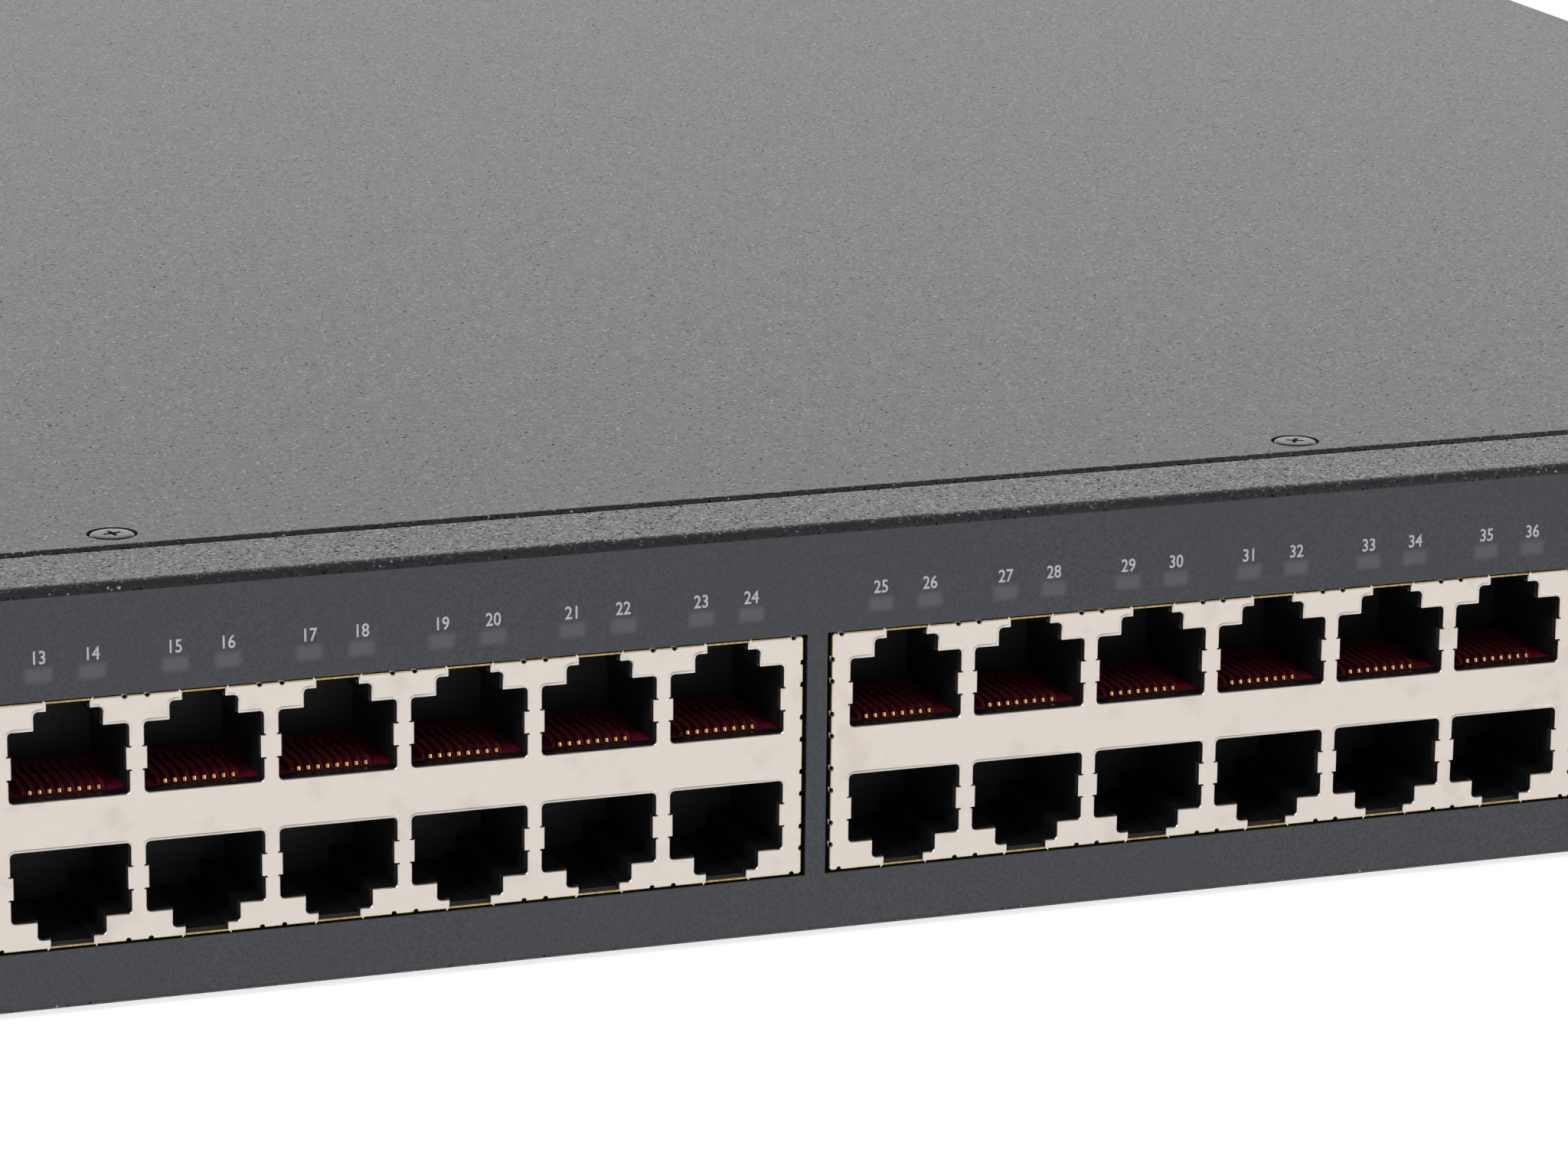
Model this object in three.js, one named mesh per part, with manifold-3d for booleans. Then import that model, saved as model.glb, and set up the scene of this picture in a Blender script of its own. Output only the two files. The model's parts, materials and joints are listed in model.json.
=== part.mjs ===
// A one-unit rackmount network switch: 48 stacked copper ports in four blocks, four pluggable-module
// bays, a console jack, two rear fans and a mains inlet. Millimetres, +Z up, front towards -Y.
// Pieces are drawn in the unit's own frame: x = 0 on the chassis centre line, y = 0 on the front face,
// z = 0 on the underside of the chassis. The last lines move the whole unit onto its feet.
import * as THREE from "three";
import { mergeVertices } from "three/addons/utils/BufferGeometryUtils.js";
import Module from "manifold-3d";

const wasm = await Module();
wasm.setup();

// ---------------------------------------------------------------- driving dimensions
const bodyWidth = 440;
const bodyDepth = 350;
const bodyHeight = 44;
const sheet = 1.0; // steel of the tray, cover and front panel
const bendRadius = 1.6; // outside radius of the panel's top bend
const footBendRadius = 0.6; // and of its bottom bend
const coverBendRadius = 1.6;
const film = 0.25; // printed overlay on the front
const filmGap = 0.15;
const filmMargin = 0.8; // film's top edge, below the top of the body
const filmFoot = 0.65; // and its bottom edge, above the underside
const filmSideMargin = 0.5;
const seatGap = 0.3; // between pieces that rest on each other

const lipDepth = 13.25; // the front panel's top lip, measured from the front face
const seamWidth = 2.25; // gap between the lip and the cover
const tongueDepth = 12.0; // joggled strip of the lip that the cover screws bite into
const trayFlangeHeight = 12;
const coverScrewPitch = 133;
const coverScrewCount = 4;
const coverScrewSetback = 19.8;
const coverScrewRadius = 1.25;
const coverScrewLength = 5.0;
const screwHeadRadius = 2.3;
const screwHeadGap = 0.05;
const screwHeadHeight = 0.5;
const dimpleDepth = 0.4; // round recess in the cover that a screw head sits in
const dimpleClearance = 0.35;
const screwClearance = 0.35;

const portRowShift = 3.5; // the port row stands this far right of the chassis centre
const blockCount = 4;
const columnsPerBlock = 6;
const columnPitch = 13.97;
const shieldEndMargin = 8.3; // from the last column's centre to the shield's end
const webWidth = 2.2; // strip of front panel between two jack blocks
const windowSideGap = 0.515;
const windowTopGap = 0.15;
const windowBottomGap = 0.3;
const shieldSheet = 0.3;
const faceCut = shieldSheet + 0.02; // cuts through a shield's face run just past its inner side
const shieldHeight = 25.75;
const jackDepth = 27.0;
const rowGap = 5.2; // solid band between the upper and the lower openings
const jackRib = 1.57; // metal between neighbouring openings
const openingWidth = columnPitch - jackRib;
const openingHeight = 7.37;
const shoulderWidth = 7.06;
const shoulderHeight = 1.93;
const latchWidth = 4.42;
const cavityDepth = 15.0;
const cavityInset = 0.12; // the moulded cavity's walls stand this far inside the shield's opening
const insertSetback = 2.1;
const insertClearance = 0.3;

const boardThickness = 1.6;
const standoffHeight = 3.5;
const standoffRadius = 2.8;
const boardSetback = 2.1;
const boardToPsu = 19; // from the main board's rear edge to the power supply's board
const boardSideGap = 6;
const standoffInsetX = 29;
const standoffInsetY = 18;
const standoffFront = 45;

const lampWidth = 2.83;
const lampHeight = 1.47;
const lampOffset = 2.74; // each lamp's distance from the middle of its pair
const lampPairShift = -0.2;
const lampRise = 2.82; // from the top of the jack shields to the middle of the lamps
const pipeClearance = 0.15;
const pipeCarrierDepth = 3;
const pipeLeg = 1.2;

const consoleOffset = 9.5; // from the middle of the left end zone
const statusOffset = -10.5;
const consoleWidth = 15.9;
const consoleHeight = 13.3;
const consoleDepth = 18;
const statusLampCount = 4;
const statusLampPitch = 4.4;
const buttonRadius = 2.0;
const buttonProud = 0.8;
const buttonHeight = 12.6; // height of the button's axis above the underside
const buttonHoleClearance = 0.35;
const buttonChamfer = 0.3;
const buttonCollar = 1.2; // the collar behind the panel stands this far proud of the cap
const buttonCollarLength = 1.0;
const buttonStemRadius = 1.2;
const buttonStemGap = 1.2; // the button's free travel before it meets its switch
const switchSetback = 6; // the mode switch's body, behind the panel
const switchWidth = 6.2;
const switchLength = 4;
const guideBar = 2; // thickness of the status light guide's upright bar

const bayWidth = 13.9;
const bayHeight = 8.8;
const bayWall = 0.6;
const bayPitchX = bayWidth + bayWall;
const bayRowGap = 3.4;
const bayDepth = 46;
const cageWall = 0.5;
const cageClearance = 0.35;
const plugLength = 11;
const plugClearance = 0.3;
const plugFlange = 1.2;
const plugGrip = 3.0;
const plugFlangeRim = 0.4; // the flange overlaps the cage this far above and below
const plugFlangeGap = 0.5; // between two neighbouring flanges
const plugGripWidth = 8;
const plugGripHeight = 1.6;
const plugEdgeHeight = 2.6;
const plugEdgeLength = 1;
const plugWall = 1;
const plugFaceWall = 1.5;

const footRadius = 8;
const footProud = 0.4;
const footInsetX = 28;
const footInsetY = 32;
const footRecess = 1.2;
const footClearance = 0.3;

const fanSize = 40;
const fanLength = 20;
const fanFrameWall = 1.1;
const fanBoreRadius = fanSize / 2 - fanFrameWall;
const fanHoleInset = 4;
const fanHoleRadius = 1.7;
const fanTipClearance = 0.6;
const fanHubRadius = 11.5;
const fanBladeCount = 7;
const fanPitch = 62;
const fanEndOffset = 60; // first fan's axis from the left side
const grilleSlotWidth = 2.8;
const grilleSlotPitch = 4.8;
const grilleRim = 0.6; // rear wall left inside the fan's bore
const grilleRadius = fanBoreRadius - grilleRim;
const spindleRadius = 1.5;
const spindleSetback = 3;
const spindleClearance = 0.5;
const hubWall = 1.4;
const hubStart = 3.0; // the rotor's ends, from the fan's front face
const hubEnd = 18.5;
const hubFloor = 2.5;
const spindleFloor = 1.2;
const strutThickness = 2.2;
const strutWidth = 2.4;
const strutTurn = 0.5;
const strutCount = 3;
const bladeChord = 13.2;
const bladeThickness = 1.2;
const bladeTilt = 0.75;
const bladeTipRelief = 0.9;

const inletOffset = 50; // mains inlet's axis from the right side
const inletFlangeWidth = 50;
const inletFlangeHeight = 22.6;
const inletFlange = 2.6;
const inletBodyWidth = 27.6;
const inletBodyHeight = 20.2;
const inletBodyLength = 24;
const inletMouthWidth = 24.4;
const inletMouthHeight = 16.6;
const inletMouthChamfer = 4.6;
const inletMouthDepth = 17;
const inletPinPitch = 7;
const inletPinRise = 2;
const inletPinWidth = 2;
const inletPinHeight = 4;
const inletPinClearance = 0.2;
const inletPinTail = 4;
const inletPinSetback = 2; // the blades' tips, inside the mouth
const inletFlangeRadius = 4;
const inletHoleReach = 20;
const inletHoleRadius = 1.8;

const groundScrewRadius = 1.9;
const groundScrewLength = 5;
const groundHeadRadius = 3.8;
const groundHeadHeight = 2.2;

const psuWidth = 112;
const psuLength = 96;
const psuStandoff = 5.5;
const psuHoleInset = 8;
const inletToPsu = 6;
const psuSideReach = 14; // the supply's board runs this far right of the inlet's body
const transformerShift = -12;
const coreWidth = 32;
const coreLength = 26;
const coreLift = 3;
const coreTop = 22;
const coilWidth = 20;
const coilLength = 32;
const coilTop = 25;
const capacitorRadius = 9.5;
const capacitorLength = 28;
const capacitorShift = 36;
const capacitorSetback = 30;
const capacitorLift = 0.8;
const harnessRadius = 2.6;
const harnessShift = -30; // where the leads leave the supply's board
const harnessLean = -8; // and how far they lean on the way to the main board
const harnessRise = 12;

const chipSize = 31;
const chipHeight = 2.4;
const sinkGap = 0.2;
const sinkHeight = 16;
const sinkFloor = 3;
const finCount = 9;
const finShare = 0.35; // fin thickness, as a share of the fin pitch
const switchSink = 52;
const switchChipY = 108;
const phySink = 40;
const phyChipY = 92;
const phySpread = 112; // the line drivers, either side of the switch chip

const ventCount = 10;
const ventPitch = 7;
const ventWidth = 3;
const ventHeight = 24;
const ventStart = 200; // first side vent behind the front face

const earReach = 21.15; // from the body's side to the ear's tip: 482.6 mm across both tips
const earSheet = 2.0;
const earSideLength = 46;
const earSideHeight = 40;
const earHeight = 43.6;
const earSlotWidth = 6.8;
const earSlotLength = 10.4;
const earSlotPitch = 31.75;
const earHolePitch = 465.1;
const earScrewPitchY = 24;
const earScrewPitchZ = 22;
const earScrewSetback = 15;
const earScrewRadius = 2.1;

// ---------------------------------------------------------------- sizes worked out from them
const halfWidth = bodyWidth / 2;
const midHeight = bodyHeight / 2;
const boardHalf = halfWidth - boardSideGap;
const panelFront = film + filmGap;
const panelBack = panelFront + sheet;
const boardBottom = sheet + standoffHeight + seatGap;
const boardTop = boardBottom + boardThickness;
const shieldBottom = boardTop + seatGap;
const shieldTop = shieldBottom + shieldHeight;
const shieldWidth = (columnsPerBlock - 1) * columnPitch + 2 * shieldEndMargin;
const blockPitch = shieldWidth + webWidth + 2 * windowSideGap;
const rowMiddle = shieldBottom + shieldHeight / 2;
const lampZ = shieldTop + lampRise;
const leftZoneX = (-halfWidth + blockX(0) - shieldWidth / 2) / 2;
const rightZoneX = (halfWidth + blockX(blockCount - 1) + shieldWidth / 2) / 2;
const consoleX = leftZoneX + consoleOffset;
const statusX = leftZoneX + statusOffset;
const cageWidth = bayPitchX + bayWidth + 2 * cageWall;
const cageHeight = 2 * bayHeight + bayRowGap + 2 * cageWall;
const cageBottom = boardTop + seatGap;
const cageRowRise = bayHeight + bayRowGap;
const coverFront = lipDepth + seamWidth;
const coverUnder = bodyHeight - sheet;
const trayHalf = halfWidth - sheet - seatGap;
const rearInside = bodyDepth - sheet;
const inletX = halfWidth - inletOffset;
const fanY = rearInside - seatGap - fanLength;
const psuBottom = sheet + psuStandoff + seatGap;
const psuTop = psuBottom + boardThickness;
const psuRear = bodyDepth - inletBodyLength - inletToPsu;
const psuFront = psuRear - psuLength;
const boardLength = psuFront - boardToPsu;
const psuX = inletX - psuWidth / 2 + inletBodyWidth / 2 + psuSideReach;
const earSide = halfWidth + seatGap;
const frontReach = plugFlange + plugGrip + plugClearance;
const rearReach = bodyDepth + inletFlange + seatGap;

function blockX(block) {
  return portRowShift + (block - (blockCount - 1) / 2) * blockPitch;
}

function columnX(block, column) {
  return blockX(block) + (column - (columnsPerBlock - 1) / 2) * columnPitch;
}

function fanX(fan) {
  return -halfWidth + fanEndOffset + fan * fanPitch;
}

// ---------------------------------------------------------------- shapes and solids
function box(x0, x1, y0, y1, z0, z1) {
  const shape = new THREE.BoxGeometry(x1 - x0, y1 - y0, z1 - z0);
  return shape.translate((x0 + x1) / 2, (y0 + y1) / 2, (z0 + z1) / 2);
}

function extrude(shape, depth, segments = 4) {
  return new THREE.ExtrudeGeometry(shape, { depth, bevelEnabled: false, curveSegments: segments });
}

// An outline in the X-Z plane, given thickness from y0 to y1.
function frontPlate(shape, y0, y1, segments) {
  return extrude(shape, y1 - y0, segments).rotateX(Math.PI / 2).translate(0, y1, 0);
}

// An outline in the Y-Z plane, given thickness from x0 to x1.
function sidePlate(shape, x0, x1, segments) {
  const turn = new THREE.Matrix4().set(0, 0, 1, x0, 1, 0, 0, 0, 0, 1, 0, 0, 0, 0, 0, 1);
  return extrude(shape, x1 - x0, segments).applyMatrix4(turn);
}

function outline(points) {
  return new THREE.Shape(points.map(([a, b]) => new THREE.Vector2(a, b)));
}

function roundedRect(x0, x1, z0, z1, radius) {
  const shape = new THREE.Shape();
  shape.absarc(x1 - radius, z0 + radius, radius, -Math.PI / 2, 0);
  shape.absarc(x1 - radius, z1 - radius, radius, 0, Math.PI / 2);
  shape.absarc(x0 + radius, z1 - radius, radius, Math.PI / 2, Math.PI);
  shape.absarc(x0 + radius, z0 + radius, radius, Math.PI, 1.5 * Math.PI);
  shape.closePath();
  return shape;
}

// A cylinder along Z (upright) or along Y (level).
function upright(x, y, z0, z1, radius, sides = 16) {
  const shape = new THREE.CylinderGeometry(radius, radius, z1 - z0, sides);
  return shape.rotateX(Math.PI / 2).translate(x, y, (z0 + z1) / 2);
}

function level(x, y0, y1, z, radius, sides = 16) {
  return new THREE.CylinderGeometry(radius, radius, y1 - y0, sides).translate(x, (y0 + y1) / 2, z);
}

function across(x0, x1, y, z, radius, sides = 16) {
  const shape = new THREE.CylinderGeometry(radius, radius, x1 - x0, sides);
  return shape.rotateZ(Math.PI / 2).translate((x0 + x1) / 2, y, z);
}

function toSolid(geometry) {
  const bare = geometry.clone();
  bare.deleteAttribute("normal");
  bare.deleteAttribute("uv");
  const merged = mergeVertices(bare, 1e-4);
  const vertProperties = new Float32Array(merged.attributes.position.array);
  const triVerts = new Uint32Array(merged.index.array);
  return new wasm.Manifold(new wasm.Mesh({ numProp: 3, vertProperties, triVerts }));
}

function toGeometry(solid) {
  const mesh = solid.getMesh();
  const geometry = new THREE.BufferGeometry();
  geometry.setAttribute("position", new THREE.BufferAttribute(mesh.vertProperties, 3));
  geometry.setIndex(new THREE.BufferAttribute(mesh.triVerts, 1));
  geometry.computeVertexNormals();
  return geometry;
}

// Joins the first list of shapes into one body and cuts the second list out of it.
function carve(kept, removed = []) {
  let solid = toSolid(kept[0]);
  for (const shape of kept.slice(1)) {
    solid = solid.add(toSolid(shape));
  }
  for (const shape of removed) {
    solid = solid.subtract(toSolid(shape));
  }
  return toGeometry(solid);
}

// ---------------------------------------------------------------- finishes
function finish(color, roughness, metalness) {
  return new THREE.MeshStandardMaterial({ color, roughness, metalness });
}

const powderCoat = finish("#2b2d2e", 0.55, 0.2);
const printedFilm = finish("#46474c", 0.6, 0);
const tinnedBrass = finish("#cfc8c0", 0.35, 0.9);
const blackPlastic = finish("#101011", 0.5, 0);
const maroonPlastic = finish("#5a141c", 0.5, 0);
const clearPlastic = finish("#c8ccd0", 0.2, 0);
const circuitBoard = finish("#1d5a34", 0.5, 0);
const bareAluminium = finish("#a9adb2", 0.4, 0.9);
const zincSteel = finish("#9a9da0", 0.35, 0.9);
const blackSteel = finish("#17181a", 0.4, 0.8);
const chipResin = finish("#1a1b1e", 0.6, 0);
const ferrite = finish("#3a3530", 0.7, 0.1);
const rubber = finish("#161616", 0.9, 0);
const plugPlastic = finish("#1c1d1f", 0.6, 0);
const wireJacket = finish("#8f1f1f", 0.6, 0);

const unit = new THREE.Group();

function place(name, geometry, material) {
  const mesh = new THREE.Mesh(geometry, material);
  mesh.name = name;
  unit.add(mesh);
  return mesh;
}

// ---------------------------------------------------------------- openings shared by several pieces
// The stepped opening of one jack, drawn with its latch upwards from the solid band (z = 0) to reach.
function jackOutline(x, z, direction, inset, reach) {
  const steps = [
    [openingWidth / 2 - inset, 0],
    [openingWidth / 2 - inset, openingHeight],
    [shoulderWidth / 2 - inset, openingHeight],
    [shoulderWidth / 2 - inset, openingHeight + shoulderHeight],
    [latchWidth / 2 - inset, openingHeight + shoulderHeight],
    [latchWidth / 2 - inset, reach],
  ];
  const right = steps.map(([dx, dz]) => [x + dx, z + direction * dz]);
  const left = steps.map(([dx, dz]) => [x - dx, z + direction * dz]).reverse();
  return outline([...right, ...left]);
}

function blockWindow(block, y0, y1) {
  const half = shieldWidth / 2 + windowSideGap;
  const x = blockX(block);
  return box(x - half, x + half, y0, y1, shieldBottom - windowBottomGap, shieldTop + windowTopGap);
}

function consoleWindow(y0, y1) {
  const half = consoleWidth / 2 + windowSideGap;
  const top = shieldBottom + consoleHeight + windowTopGap;
  return box(consoleX - half, consoleX + half, y0, y1, shieldBottom - windowBottomGap, top);
}

function cageWindow(y0, y1) {
  const half = cageWidth / 2 + cageClearance;
  const low = cageBottom - cageClearance;
  return box(rightZoneX - half, rightZoneX + half, y0, y1, low, cageBottom + cageHeight + cageClearance);
}

function buttonHole(y0, y1) {
  return level(statusX, y0, y1, buttonHeight, buttonRadius + buttonHoleClearance, 20);
}

// The middle of every lamp above one block, left to right.
function lampCentres(block) {
  const centres = [];
  for (let column = 0; column < columnsPerBlock; column += 1) {
    for (const side of [-1, 1]) {
      centres.push(columnX(block, column) + lampPairShift + side * lampOffset);
    }
  }
  return centres;
}

function statusLampZ(index) {
  return lampZ - index * statusLampPitch;
}

function lampHole(x, z, y0, y1) {
  return box(x - lampWidth / 2, x + lampWidth / 2, y0, y1, z - lampHeight / 2, z + lampHeight / 2);
}

function coverScrewX(index) {
  return (index - (coverScrewCount - 1) / 2) * coverScrewPitch;
}

// ---------------------------------------------------------------- front panel and its printed film
// One folded sheet: top lip with a joggled tongue, upright face and bottom return.
function frontPanel() {
  const tongueTop = coverUnder - seatGap;
  const tongueEnd = coverFront + tongueDepth;
  const section = new THREE.Shape();
  section.moveTo(lipDepth, 0);
  section.lineTo(lipDepth, sheet);
  section.lineTo(panelBack, sheet);
  section.lineTo(panelBack, tongueTop - sheet);
  section.lineTo(tongueEnd, tongueTop - sheet);
  section.lineTo(tongueEnd, tongueTop);
  section.lineTo(lipDepth, tongueTop);
  section.lineTo(lipDepth, bodyHeight);
  section.absarc(panelFront + bendRadius, bodyHeight - bendRadius, bendRadius, Math.PI / 2, Math.PI);
  section.absarc(panelFront + footBendRadius, footBendRadius, footBendRadius, Math.PI, 1.5 * Math.PI);
  section.closePath();
  const tongueHalf = halfWidth - sheet - seatGap;
  const sideLow = trayFlangeHeight + 2 * seatGap;
  const kept = [sidePlate(section, -halfWidth, halfWidth, 4)];
  const cuts = [consoleWindow(0, lipDepth), cageWindow(0, lipDepth), buttonHole(0, 3)];
  for (const side of [-1, 1]) {
    const ends = (a, b) => [side * a, side * b].sort((p, q) => p - q);
    cuts.push(box(...ends(tongueHalf, halfWidth + 1), lipDepth, tongueEnd + 1, -1, bodyHeight + 1));
    kept.push(box(...ends(halfWidth - sheet, halfWidth), panelBack - 0.1, lipDepth, 0, bodyHeight));
    kept.push(box(...ends(tongueHalf - sheet, halfWidth), lipDepth - sheet, lipDepth, sideLow, coverUnder));
    kept.push(box(...ends(tongueHalf - sheet, tongueHalf), lipDepth - sheet, tongueEnd, sideLow, tongueTop));
  }
  for (let block = 0; block < blockCount; block += 1) {
    cuts.push(blockWindow(block, 0, panelBack + 1));
    for (const x of lampCentres(block)) {
      cuts.push(lampHole(x, lampZ, 0, panelBack + 1));
    }
  }
  for (let lamp = 0; lamp < statusLampCount; lamp += 1) {
    cuts.push(lampHole(statusX, statusLampZ(lamp), 0, panelBack + 1));
  }
  for (let screw = 0; screw < coverScrewCount; screw += 1) {
    const x = coverScrewX(screw);
    const radius = coverScrewRadius + screwClearance;
    cuts.push(upright(x, coverScrewSetback, tongueTop - 2 * sheet, tongueTop + 0.1, radius, 12));
  }
  return carve(kept, cuts);
}

function frontOverlay() {
  const half = halfWidth - filmSideMargin;
  const sheetShape = box(-half, half, 0, film, filmFoot, bodyHeight - filmMargin);
  const cuts = [consoleWindow(-1, 1), cageWindow(-1, 1), buttonHole(-1, 1)];
  for (let block = 0; block < blockCount; block += 1) {
    cuts.push(blockWindow(block, -1, 1));
  }
  return carve([sheetShape], cuts);
}

place("front_panel", frontPanel(), powderCoat);
place("front_overlay", frontOverlay(), printedFilm);

// ---------------------------------------------------------------- cover and tray
// The cover is a channel: top sheet with both sides folded down, over the tray's flanges.
function topCover() {
  const inner = halfWidth - sheet;
  const inside = coverBendRadius - sheet;
  const section = new THREE.Shape();
  const bendX = halfWidth - coverBendRadius;
  const bendZ = bodyHeight - coverBendRadius;
  section.moveTo(halfWidth, seatGap);
  section.absarc(bendX, bendZ, coverBendRadius, 0, Math.PI / 2);
  section.absarc(-bendX, bendZ, coverBendRadius, Math.PI / 2, Math.PI);
  section.lineTo(-halfWidth, seatGap);
  section.lineTo(-inner, seatGap);
  section.absarc(-inner + inside, coverUnder - inside, inside, Math.PI, Math.PI / 2, true);
  section.absarc(inner - inside, coverUnder - inside, inside, Math.PI / 2, 0, true);
  section.lineTo(inner, seatGap);
  section.closePath();
  const cuts = [];
  for (let screw = 0; screw < coverScrewCount; screw += 1) {
    const x = coverScrewX(screw);
    const hole = coverScrewRadius + screwClearance;
    cuts.push(upright(x, coverScrewSetback, coverUnder - 1, bodyHeight + 1, hole, 12));
    const dimple = screwHeadRadius + dimpleClearance;
    cuts.push(upright(x, coverScrewSetback, bodyHeight - dimpleDepth, bodyHeight + 1, dimple, 32));
  }
  for (let vent = 0; vent < ventCount; vent += 1) {
    const y = ventStart + vent * ventPitch;
    const low = midHeight - ventHeight / 2;
    const slot = [y, y + ventWidth, low, low + ventHeight];
    cuts.push(box(halfWidth - 4, halfWidth + 1, ...slot));
    cuts.push(box(-halfWidth - 1, -halfWidth + 4, ...slot));
  }
  return carve([frontPlate(section, coverFront, bodyDepth, 4)], cuts);
}

// Round slots over a fan, cut through the tray's rear wall.
function grilleCuts(x) {
  const cuts = [];
  const half = Math.floor(grilleRadius / grilleSlotPitch);
  for (let slot = -half; slot <= half; slot += 1) {
    const dx = slot * grilleSlotPitch;
    const reach = Math.sqrt(grilleRadius ** 2 - dx ** 2);
    const left = x + dx - grilleSlotWidth / 2;
    const right = x + dx + grilleSlotWidth / 2;
    cuts.push(box(left, right, rearInside - 1, bodyDepth + 1, midHeight - reach, midHeight + reach));
  }
  return cuts;
}

const standoffSpots = [];
for (const x of [-boardHalf + standoffInsetX, 0, boardHalf - standoffInsetX]) {
  for (const y of [standoffFront, boardLength - standoffInsetY]) {
    standoffSpots.push([x, y]);
  }
}

const footSpots = [];
for (const x of [-halfWidth + footInsetX, halfWidth - footInsetX]) {
  for (const y of [lipDepth + footInsetY, bodyDepth - footInsetY]) {
    footSpots.push([x, y]);
  }
}

const groundScrewX = inletX - inletFlangeWidth;

// The tray: floor, short side flanges, rear wall, and a joggled tongue over the panel's bottom return.
function baseTray() {
  const floorFront = lipDepth + seatGap;
  const tongueFloor = sheet + seatGap;
  const tongueFront = panelBack + 4;
  const kept = [
    box(-trayHalf, trayHalf, floorFront, bodyDepth, 0, sheet),
    box(-trayHalf, trayHalf, floorFront, floorFront + sheet, 0, tongueFloor + sheet),
    box(-trayHalf, trayHalf, tongueFront, floorFront + sheet, tongueFloor, tongueFloor + sheet),
    box(-trayHalf, -trayHalf + sheet, floorFront, bodyDepth, 0, trayFlangeHeight),
    box(trayHalf - sheet, trayHalf, floorFront, bodyDepth, 0, trayFlangeHeight),
    box(-trayHalf, trayHalf, rearInside, bodyDepth, 0, coverUnder - seatGap),
  ];
  for (const [x, y] of standoffSpots) {
    kept.push(upright(x, y, sheet / 2, sheet + standoffHeight, standoffRadius, 8));
  }
  for (const dx of [-1, 1]) {
    for (const y of [psuFront + psuHoleInset, psuRear - psuHoleInset]) {
      const x = psuX + dx * (psuWidth / 2 - psuHoleInset);
      kept.push(upright(x, y, sheet / 2, sheet + psuStandoff, standoffRadius, 8));
    }
  }
  const cuts = [];
  for (const [x, y] of footSpots) {
    kept.push(upright(x, y, 0, footRecess + sheet, footRadius + footClearance + sheet, 16));
    cuts.push(upright(x, y, -1, footRecess, footRadius + footClearance, 16));
  }
  for (let fan = 0; fan < 2; fan += 1) {
    cuts.push(...grilleCuts(fanX(fan)));
  }
  const halfInlet = inletBodyWidth / 2 + seatGap;
  const inletLow = midHeight - inletBodyHeight / 2 - seatGap;
  const inletHigh = midHeight + inletBodyHeight / 2 + seatGap;
  cuts.push(box(inletX - halfInlet, inletX + halfInlet, rearInside - 1, bodyDepth + 1, inletLow, inletHigh));
  const groundHole = groundScrewRadius + screwClearance;
  cuts.push(level(groundScrewX, rearInside - 1, bodyDepth + 1, midHeight, groundHole, 12));
  return carve(kept, cuts);
}

// A screw on the Z axis: shank below z = 0, thin domed head above.
function screwGeometry(shankRadius, shankLength, headRadius, headHeight) {
  const profile = [
    [0, -shankLength],
    [shankRadius, -shankLength],
    [shankRadius, 0],
    [headRadius, 0],
    [headRadius, headHeight * 0.45],
    [headRadius * 0.6, headHeight],
    [0, headHeight],
  ];
  const turned = new THREE.LatheGeometry(profile.map(([r, z]) => new THREE.Vector2(r, z)), 16);
  return turned.rotateX(Math.PI / 2);
}

place("top_cover", topCover(), powderCoat);
place("base_tray", baseTray(), powderCoat);
for (let screw = 0; screw < coverScrewCount; screw += 1) {
  const geometry = screwGeometry(coverScrewRadius, coverScrewLength, screwHeadRadius, screwHeadHeight);
  const mesh = place(`cover_screw_${screw + 1}`, geometry, blackSteel);
  const seat = bodyHeight - dimpleDepth + screwHeadGap;
  mesh.position.set(coverScrewX(screw), coverScrewSetback, seat);
}

const groundShape = screwGeometry(groundScrewRadius, groundScrewLength, groundHeadRadius, groundHeadHeight);
const groundScrew = place("ground_screw", groundShape, zincSteel);
groundScrew.position.set(groundScrewX, bodyDepth + seatGap, midHeight);
groundScrew.rotation.x = -Math.PI / 2;

footSpots.forEach(([x, y], index) => {
  place(`foot_${index + 1}`, upright(x, y, -footProud, footRecess - seatGap, footRadius, 16), rubber);
});

// ---------------------------------------------------------------- stacked jack blocks
// A row of jacks: where each opening starts and which way its latch points.
const jackRows = [
  { z: rowMiddle + rowGap / 2, direction: 1 },
  { z: rowMiddle - rowGap / 2, direction: -1 },
];

function jackShield(block) {
  const half = shieldWidth / 2;
  const x = blockX(block);
  const inner = half - shieldSheet;
  const hollow = [x - inner, x + inner, shieldSheet, jackDepth - shieldSheet];
  const cuts = [box(...hollow, shieldBottom - 1, shieldTop - shieldSheet)];
  const reach = shieldHeight / 2 - rowGap / 2 + 1;
  for (let column = 0; column < columnsPerBlock; column += 1) {
    for (const row of jackRows) {
      const shape = jackOutline(columnX(block, column), row.z, row.direction, 0, reach);
      cuts.push(frontPlate(shape, -1, faceCut));
    }
  }
  return carve([box(x - half, x + half, 0, jackDepth, shieldBottom, shieldTop)], cuts);
}

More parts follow.
